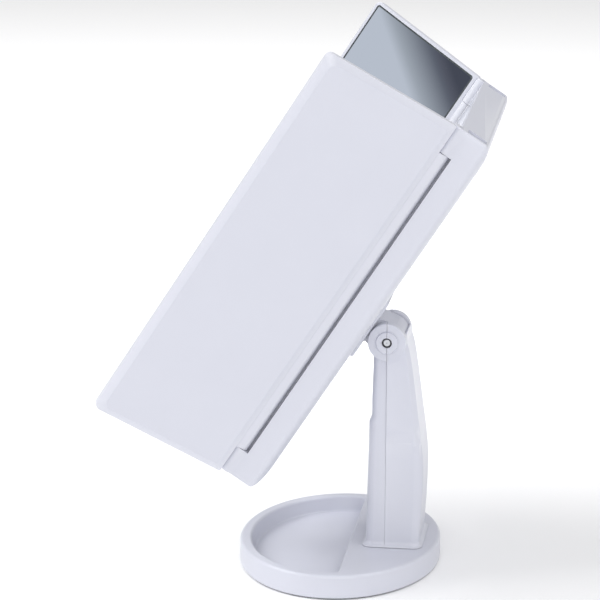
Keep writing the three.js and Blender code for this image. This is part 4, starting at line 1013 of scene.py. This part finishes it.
def makeWing(s, side):
    plate = wingStack(side, s["near"], s["far"], s["low"], s["high"], [
        (s["inner"], s["rimEdge"]), (s["inner"] + s["rimEdge"], 0),
        (s["outer"] - s["bevelDepth"], 0), (s["outer"], s["bevelWidth"])], s["corner"], s["innerCorner"])
    for level in (s["outer"] - s["bevelDepth"], s["outer"]):
        roundEdges(plate, sharperThan(edgesOn(plate, 1, -level), 0.2), s["softEdge"], 3)
    pocket = wingStack(side, s["pocketNear"], s["pocketFar"], s["pocketLow"], s["pocketHigh"],
                       [(-past, 0), (s["pocketFloor"], 0)], s["pocketCorner"])
    rooms = []
    across = [s["pocketNear"] + s["roomInset"], s["pocketFar"] - s["roomInset"]]
    middle = sum(across) / 2
    levels = [s["pocketLow"] + s["roomInset"] + (s["pocketHigh"] - s["pocketLow"] - 2 * s["roomInset"]) * row
              / s["ribs"] for row in range(s["ribs"] + 1)]
    for low, high in zip(levels, levels[1:]):
        for near, far in ((across[0], middle - s["rib"] / 2), (middle + s["rib"] / 2, across[1])):
            rooms.append(wingStack(side, near, far, low + s["rib"] / 2, high - s["rib"] / 2,
                                   [(s["pocketFloor"] - lap, 0), (s["outer"] - s["skin"], 0)]))
    barrel = rod(s["barrel"], s["barrelHigh"] - s["barrelLow"], "z", (0, 0, s["barrelLow"]), segments=80)
    x0, x1 = sorted((0, -side * s["tongueReach"]))
    tongue = block(x0, x1, -s["tongueHeight"], -s["inner"], s["barrelLow"], s["barrelHigh"])
    root = [v for v in tongue.verts if abs(v.co.x) < 1e-4 and v.co.y < -1]
    bmesh.ops.translate(tongue, vec=(0, s["tongueHeight"] - s["barrel"], 0), verts=root)
    bores = [rod(s["pinBore"], s["pinDeep"] + past, "z", (0, 0, z), segments=40)
             for z in (s["barrelLow"] - past, s["barrelHigh"] - s["pinDeep"])]
    return shaped(plate, join=[barrel, tongue], cut=[pocket, *rooms, *bores])


def fitted(s, side, low, high, levels, corner=0.0):
    # what is let into the wing's pocket
    return wingStack(side, s["pocketNear"] + s["fit"], s["pocketFar"] - s["fit"], low, high, levels, corner)


def addWingMirror(s, side, name, body, low, high):
    front, edge = s["glassFront"], s["glassEdge"]
    bm = fitted(s, side, low, high, [(front, edge), (front + edge * bevelDrop, 0), (s["glassBack"], 0)],
                s["glassCorner"])
    addMirror(twoFinishes(bm, lambda normal: normal.y <= 0.99), name, body)


def addWing(s, side, name):
    body, fit = name + "_wing", s["fit"]
    addPiece(makeWing(s, side), body + "_shell_moulding", body, "white_plastic", body + "_shell")
    low, high = s["pocketLow"] + fit, s["pocketHigh"] - fit
    barLow, barHigh = s["split"] - s["bar"], s["split"] + s["bar"]
    if side < 0:
        addWingMirror(s, side, "left_wing_mirror", body, low, high)
        return
    addWingMirror(s, side, "right_wing_mirror_lower", body, low, barLow - fit)
    addWingMirror(s, side, "right_wing_mirror_upper", body, barHigh + fit, high)
    bar = fitted(s, side, barLow, barHigh, backEdged(s["barFront"], s["glassBack"], s["barEdge"]))
    addPiece(bar, "magnifier_bar_moulding", body, "white_plastic", "magnifier_bar")


addWing(wingShape, -1, "left")
addWing(wingShape, 1, "right")
print("wings made")

# Hinge pins, battery cover, switch, socket and cells

detailShape = {
    "pinRadius": 1.25, "pinEdge": 0.3, "coverEdge": 0.4, "coverCorner": 1.0, "coverThickness": 2.0,
    "gripHalf": 7.0, "gripLow": 106.1, "gripHigh": 111.1, "gripDepth": 0.7, "gripFlare": 0.6,
    "gripCorner": 2.2, "gripBars": 4, "barRadius": 0.45, "barInset": 1.5, "barSink": 0.05,
    "knobHalfWidth": 1.7, "knobHalfHeight": 2.5, "knobBack": 15.1, "knobFront": 18.9, "knobEdge": 0.45,
    "knobCorner": 0.7, "ridges": (-1.2, -0.4, 0.4, 1.2), "ridgeHalf": 0.2, "ridgeReach": 2.0,
    "ridgeDepth": 0.3, "socketHalfWidth": 3.8, "socketHalfHeight": 1.5, "socketBack": 16.7,
    "socketFront": 24.1, "socketWall": 0.4, "socketFloor": 1.2, "socketCorner": 1.35, "mouthCorner": 1.0,
    "tongueHalf": 2.0, "tongueThickness": 0.6, "tongueInset": 0.8, "cells": 4, "cellRadius": 5.25,
    "cellEdge": 0.5, "tipRadius": 1.9, "tipHeight": 1.0, "tipLap": 0.05,
}


def panelBox(name):
    # the lowest and the highest corner of a CAD node, in the panel's terms
    spots = [headPlace.inverted() @ v.co for v in frame["nodes"][name].data.vertices]
    return [Vector([pick(spot[axis] for spot in spots) for axis in range(3)]) for pick in (min, max)]


def addPins(s):
    for side in ("left", "right"):
        for level in ("upper", "lower"):
            name = f"hinge_pin_{side}_{level}"
            low, high = panelBox(name)
            spot = (hinge.x if side == "right" else -hinge.x, hinge.y, low.z)
            pin = rod(s["pinRadius"], high.z - low.z, "z", spot, segments=40)
            for end in (low.z, high.z):
                rimRounded(pin, 2, end, s["pinEdge"], 3)
            addPiece(pin, name + "_ground", "head", "steel", name)


def addCover(s, p):
    back, half, low, high = p["back"], s["gripHalf"], s["gripLow"], s["gripHigh"]
    bm = stacked(-p["coverHalf"], p["coverHalf"], p["coverLow"], p["coverHigh"],
                 backEdged(back, back + s["coverThickness"], s["coverEdge"]), s["coverCorner"])
    grip = stacked(-half, half, low, high, [(back - past, -s["gripFlare"]), (back + s["gripDepth"], 0)],
                   s["gripCorner"])
    bars = [rod(s["barRadius"], 2 * half - 2 * s["barInset"], "x",
                (s["barInset"] - half, -back - s["gripDepth"] - s["barSink"],
                 low + (row + 0.5) * (high - low) / s["gripBars"]), segments=20)
            for row in range(s["gripBars"])]
    cover = shaped(shaped(bm, cut=[grip]), join=bars)
    addPiece(cover, "battery_cover_moulding", "battery_cover", "white_plastic", "battery_cover")


def addControls(s, p):
    x, z, half, tall = p["switchX"], p["controlZ"], s["knobHalfWidth"], s["knobHalfHeight"]
    back, reach = s["knobBack"], s["ridgeReach"]
    knob = stacked(x - half, x + half, z - tall, z + tall,
                   backEdged(back, s["knobFront"], s["knobEdge"]), s["knobCorner"])
    ridges = [panelBlock(x - reach, x + reach, back - past, back + s["ridgeDepth"],
                         z + rise - s["ridgeHalf"], z + rise + s["ridgeHalf"]) for rise in s["ridges"]]
    addPiece(shaped(knob, cut=ridges), "power_switch_knob_ridged", "power_switch", "black_plastic",
             "power_switch_knob")
    x, half, tall, wall = p["socketX"], s["socketHalfWidth"], s["socketHalfHeight"], s["socketWall"]
    back, front, thin = s["socketBack"], s["socketFront"], s["tongueThickness"] / 2
    can = stacked(x - half, x + half, z - tall, z + tall, [(back, 0), (front, 0)], s["socketCorner"])
    mouth = stacked(x - half + wall, x + half - wall, z - tall + wall, z + tall - wall,
                    [(back - past, 0), (front - s["socketFloor"], 0)], s["mouthCorner"])
    tongue = panelBlock(x - s["tongueHalf"], x + s["tongueHalf"], back + s["tongueInset"], front - lap,
                        z - thin, z + thin)
    can = shaped(shaped(can, cut=[mouth]), join=[tongue])
    addPiece(can, "usb_socket_drawn", "head", "steel", "usb_socket")


def addCells(s):
    # every other cell is turned round
    for index in range(s["cells"]):
        name = f"aaa_battery_{index + 1}"
        low, high = panelBox(name)
        x, y, turned = (low.x + high.x) / 2, (low.y + high.y) / 2, index % 2 == 1
        bottom = low.z if turned else low.z + s["tipHeight"]
        top = high.z - s["tipHeight"] if turned else high.z
        jacket = rod(s["cellRadius"], top - bottom, "z", (x, y, bottom), segments=56)
        for end in (bottom, top):
            rimRounded(jacket, 2, end, s["cellEdge"], 3)
        twoFinishes(jacket, lambda normal: abs(normal.z) > 0.3)
        foot = top - s["tipLap"] if turned else low.z
        tip = rod(s["tipRadius"], s["tipHeight"] + 2 * s["tipLap"], "z", (x, y, foot), segments=32)
        cell = shaped(jacket, join=[twoFinishes(tip, lambda normal: True)])
        piece = addPiece(cell, name + "_wrapped", "head", "battery_jacket", name)
        piece.data.materials.append(finishes["steel"])


addPins(detailShape)
addCover(detailShape, panelShape)
addControls(detailShape, panelShape)
addCells(detailShape)
print("details made")

# Floor, world and soft studio light

stageSettings = {
    # metres
    "floorRadius": 12.0, "floorColour": (0.97, 0.97, 0.975, 1), "floorRoughness": 0.85, "floorShine": 0.2,
    "worldColour": (1.0, 1.0, 1.0, 1), "worldStrength": 0.50,
    "aim": (0.0, 0.0, 0.16),
    # name, azimuth, elevation, distance, width, watts
    "softboxes": [("softboxCamera", 100, 18, 4.5, 2.9, 62.0), ("softboxBehind", 172, 54, 4.0, 2.9, 50.0),
                  ("softboxFront", 12, 46, 4.0, 2.9, 108.0)],
    # one more above the floor behind the object, turned away from it
    "backdropFrom": (-0.8, -0.1, 1.1), "backdropTo": (-2.3, -0.35, 0.0), "backdropWidth": 1.4,
    "backdropWatts": 13.0,
}


def addLamp(name, spot, aim, width, watts):
    data = bpy.data.lights.new(name, "AREA")
    data.shape = "SQUARE"
    data.size, data.energy = width, watts
    lamp = addToScene(name, data)
    lamp.location = spot
    lamp.rotation_euler = (aim - spot).to_track_quat("-Z", "Y").to_euler()


def makeStage(s):
    floor = addToScene("floor", meshOf(ovalSheet(s["floorRadius"], s["floorRadius"], 0, 96), "floor"))
    paint = newMaterial("floorPaint", {"Base Color": s["floorColour"], "Roughness": s["floorRoughness"],
                                       "Specular IOR Level": s["floorShine"]})[0]
    floor.data.materials.append(paint)
    world = bpy.data.worlds.new("studio")
    world.use_nodes = True
    setInputs(world.node_tree.nodes["Background"], {
        "Color": s["worldColour"], "Strength": s["worldStrength"]})
    bpy.context.scene.world = world
    addLamp("softboxBackdrop", Vector(s["backdropFrom"]), Vector(s["backdropTo"]), s["backdropWidth"],
            s["backdropWatts"])
    aim = Vector(s["aim"])
    for name, azimuth, elevation, distance, width, watts in s["softboxes"]:
        addLamp(name, aim + towards(azimuth, elevation) * distance, aim, width, watts)
    bpy.context.scene.view_settings.view_transform = "Standard"


# What the far wing's mirror shows: a glowing card seen only in reflection, a painted reflection whose tone
# falls off along one direction

reflectionCardSettings = {
    "centre": (0.4233, -0.3990, 0.4454), "side": (-0.6358, -0.7719, 0.0), "up": (-0.1662, 0.1369, 0.9765),
    "half": 0.25, "along": (-0.877, 0.480), "start": -0.022, "end": 0.0234,
    # place between start and end, light sent
    "tones": [(0.0, (0.544, 0.582, 0.663)), (0.216, (0.381, 0.414, 0.470)), (0.727, (0.122, 0.134, 0.170)),
              (0.830, (0.101, 0.107, 0.139)), (1.0, (0.067, 0.073, 0.099))],
}


def makeReflectionCardTones(s, centre, direction):
    glow = newMaterial("paintedReflectionTones", {})[0]
    tree = glow.node_tree
    tree.nodes.remove(tree.nodes["Principled BSDF"])
    where = newNode(tree, "TexCoord")
    offset = newNode(tree, "VectorMath", {1: centre}, operation="SUBTRACT")
    along = newNode(tree, "VectorMath", {1: direction}, operation="DOT_PRODUCT")
    spread = newNode(tree, "MapRange", {"From Min": s["start"], "From Max": s["end"]})
    ramp = newNode(tree, "ValToRGB")
    for count, (spot, colour) in enumerate(s["tones"]):
        stops = ramp.color_ramp.elements
        stop = stops[count] if count < 2 else stops.new(spot)
        stop.position = spot
        stop.color = (*colour, 1)
    glowing = newNode(tree, "Emission")
    linkAll(tree, (where, "Object", offset, 0), (offset, "Vector", along, 0),
            (along, "Value", spread, "Value"), (spread, "Result", ramp, "Fac"),
            (ramp, "Color", glowing, "Color"),
            (glowing, "Emission", tree.nodes["Material Output"], "Surface"))
    return glow


def makeReflectionCard(s):
    centre, side, up = Vector(s["centre"]), Vector(s["side"]), Vector(s["up"])
    bm = squareSheet(half=s["half"])
    facing = side.cross(up)
    bm.transform(Matrix.Translation(centre) @ Matrix((side, up, facing)).transposed().to_4x4())
    reflectionCard = addToScene("reflectionCard", meshOf(bm, "reflectionCard"))
    reflectionCard.data.materials.append(makeReflectionCardTones(s, centre, side * s["along"][0] + up * s["along"][1]))
    for ray in ("camera", "diffuse", "transmission", "volume_scatter", "shadow"):
        setattr(reflectionCard, "visible_" + ray, False)


makeStage(stageSettings)
makeReflectionCard(reflectionCardSettings)
print("stage ready")
